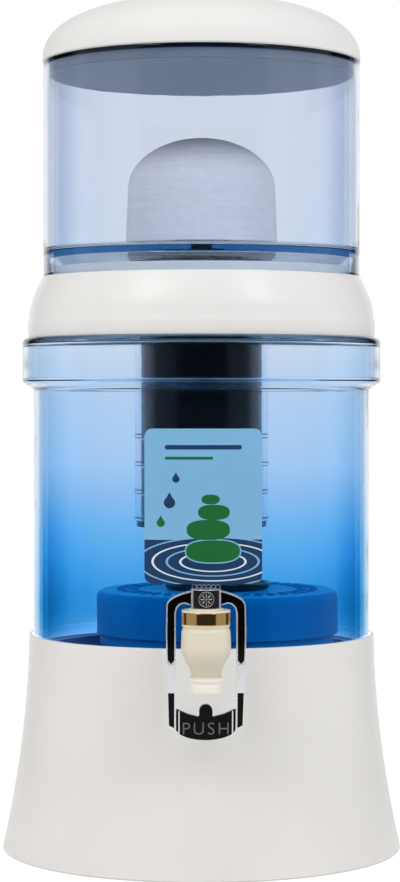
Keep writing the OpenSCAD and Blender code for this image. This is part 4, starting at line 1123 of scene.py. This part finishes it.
# ---- Ceramic dome --------------------------------------------------------------------------
# The fired ceramic candle, glued to a plastic base whose threaded stem goes through a rubber
# washer and the tank's floor and is held by a wing nut below.

def dome_line(r, h, power, z, steps=44):
    """A dome's outline from its foot to its top, fuller in its shoulder where power is over 2."""
    turns = [math.pi / 2 * k / steps for k in range(steps)]
    return [(r * math.cos(a) ** (2 / power), z + h * math.sin(a) ** (2 / power))
            for a in turns] + [(0.0, z + h)]


ceramic, tree, shader = finish("fired_ceramic", Roughness=0.82)
at = own(tree)
pore = step(tree, "TexVoronoi", Vector=at, Scale=900.0, feature="DISTANCE_TO_EDGE").outputs["Distance"]
chalk = noise(tree, at, 220.0, 6.0)
turning = noise(tree, step(tree, "Mapping", at, Scale=(1.0, 1.0, 30.0)).outputs[0], 18.0, 3.0)
tone = sums(tree, "ADD", times(tree, chalk, 0.5), times(tree, turning, 0.5))
tint = blended(tree, stretch(tree, tone, 0.38, 0.62), ink(236, 231, 234), ink(243, 238, 242))
# Painted shade: the crown is painted a shade darker, where the lid above keeps light off it
crest = stretch(tree, spot(tree)["Z"], 0.438, 0.4655)
painted_crown_shade = rest(tree, times(tree, sums(tree, "POWER", crest, 2.0), 0.42))
feed(tree, shader.inputs, {"Base Color": dimmed(tree, tint, painted_crown_shade)})
relief(tree, shader, sums(tree, "ADD", stretch(tree, pore, 0.0, 0.1), chalk), 0.00003)

dome_r, dome_h, dome_z, dome_t = 48.4, 33.5, 432, 7
dome = turned("ceramic_dome_candle", eased([(43, 396, 0.4), (50, 396, 0.8), (dome_r, dome_z)]) +
              dome_line(dome_r, dome_h, 2, dome_z)[1:] +
              dome_line(dome_r - dome_t, dome_h - dome_t, 2, dome_z)[::-1], steps=144)
dress(dome, ceramic, "upper", "ceramic_dome", "ceramic_dome")
base_white = plastic("base_white", ink(232, 231, 226), gloss=0.36)
dome_base = turned("dome_base_moulding", eased(
    [(4, 372, 0.2), (6.6, 372, 0.3)] + thread(5, 373.4, 7, 6.5) +
    [(7, 392), (50.3, 392, 0.8), (50.3, 396, 0.8), (42.9, 396), (42.9, 401, 0.5), (40, 401, 0.5), (40, 396),
     (4, 396)]), steps=144)
dress(dome_base, base_white, "upper", "dome_base", "dome_base")
kept("dome_washer", rubber_dark)
kept("wing_nut", base_white)


# ---- Lid -----------------------------------------------------------------------------------
# A white domed moulding that rests on the tank's rim, with a lip that centres it in the mouth.
# Its outside is satin. Its inside and its lip are left unpolished, and are painted greyer as painted shade.

lip_r, lip_in_r, lip_low = 100.2, 98, 505.4
under = [p for p in dome_line(101.9, 38.9, 2.4, upper_top) if p[0] < lip_in_r]
lid = turned("lid_moulding", eased(
    [(103.7, upper_top, 0.4)] + dome_line(104.5, 40.5, 2.4, 515.5) + under[::-1] +
    [(lip_in_r, under[0][1] - 3), (lip_in_r, lip_low, 0.6), (lip_r, lip_low, 0.6), (lip_r, upper_top, 0.4)]))
dress(lid, plastic("lid_white", ink(236, 235, 233), gloss=0.52), "lid", "lid", "lid")
outer_face, inner_face, lip_face = range(3)
# Painted shade: the inside and the lip get greyer colours than the outside
lid.data.materials.append(plastic("lid_inside_painted_shade", ink(216, 224, 234), gloss=0.6, flow=0.06))
lid.data.materials.append(plastic("lid_lip_painted_shade", ink(136, 145, 160), gloss=0.6, flow=0.06))
for face in lid.data.polygons:
    place, turn = face.center, face.normal
    outward = place.x * turn.x + place.y * turn.y
    face.material_index = outer_face
    if math.hypot(place.x, place.y) < (lip_r + 0.2) / 1000:
        if place.z < (upper_top + 0.1) / 1000 and outward > 0:
            face.material_index = lip_face
        elif outward < 0 or turn.z < -0.5:
            face.material_index = inner_face
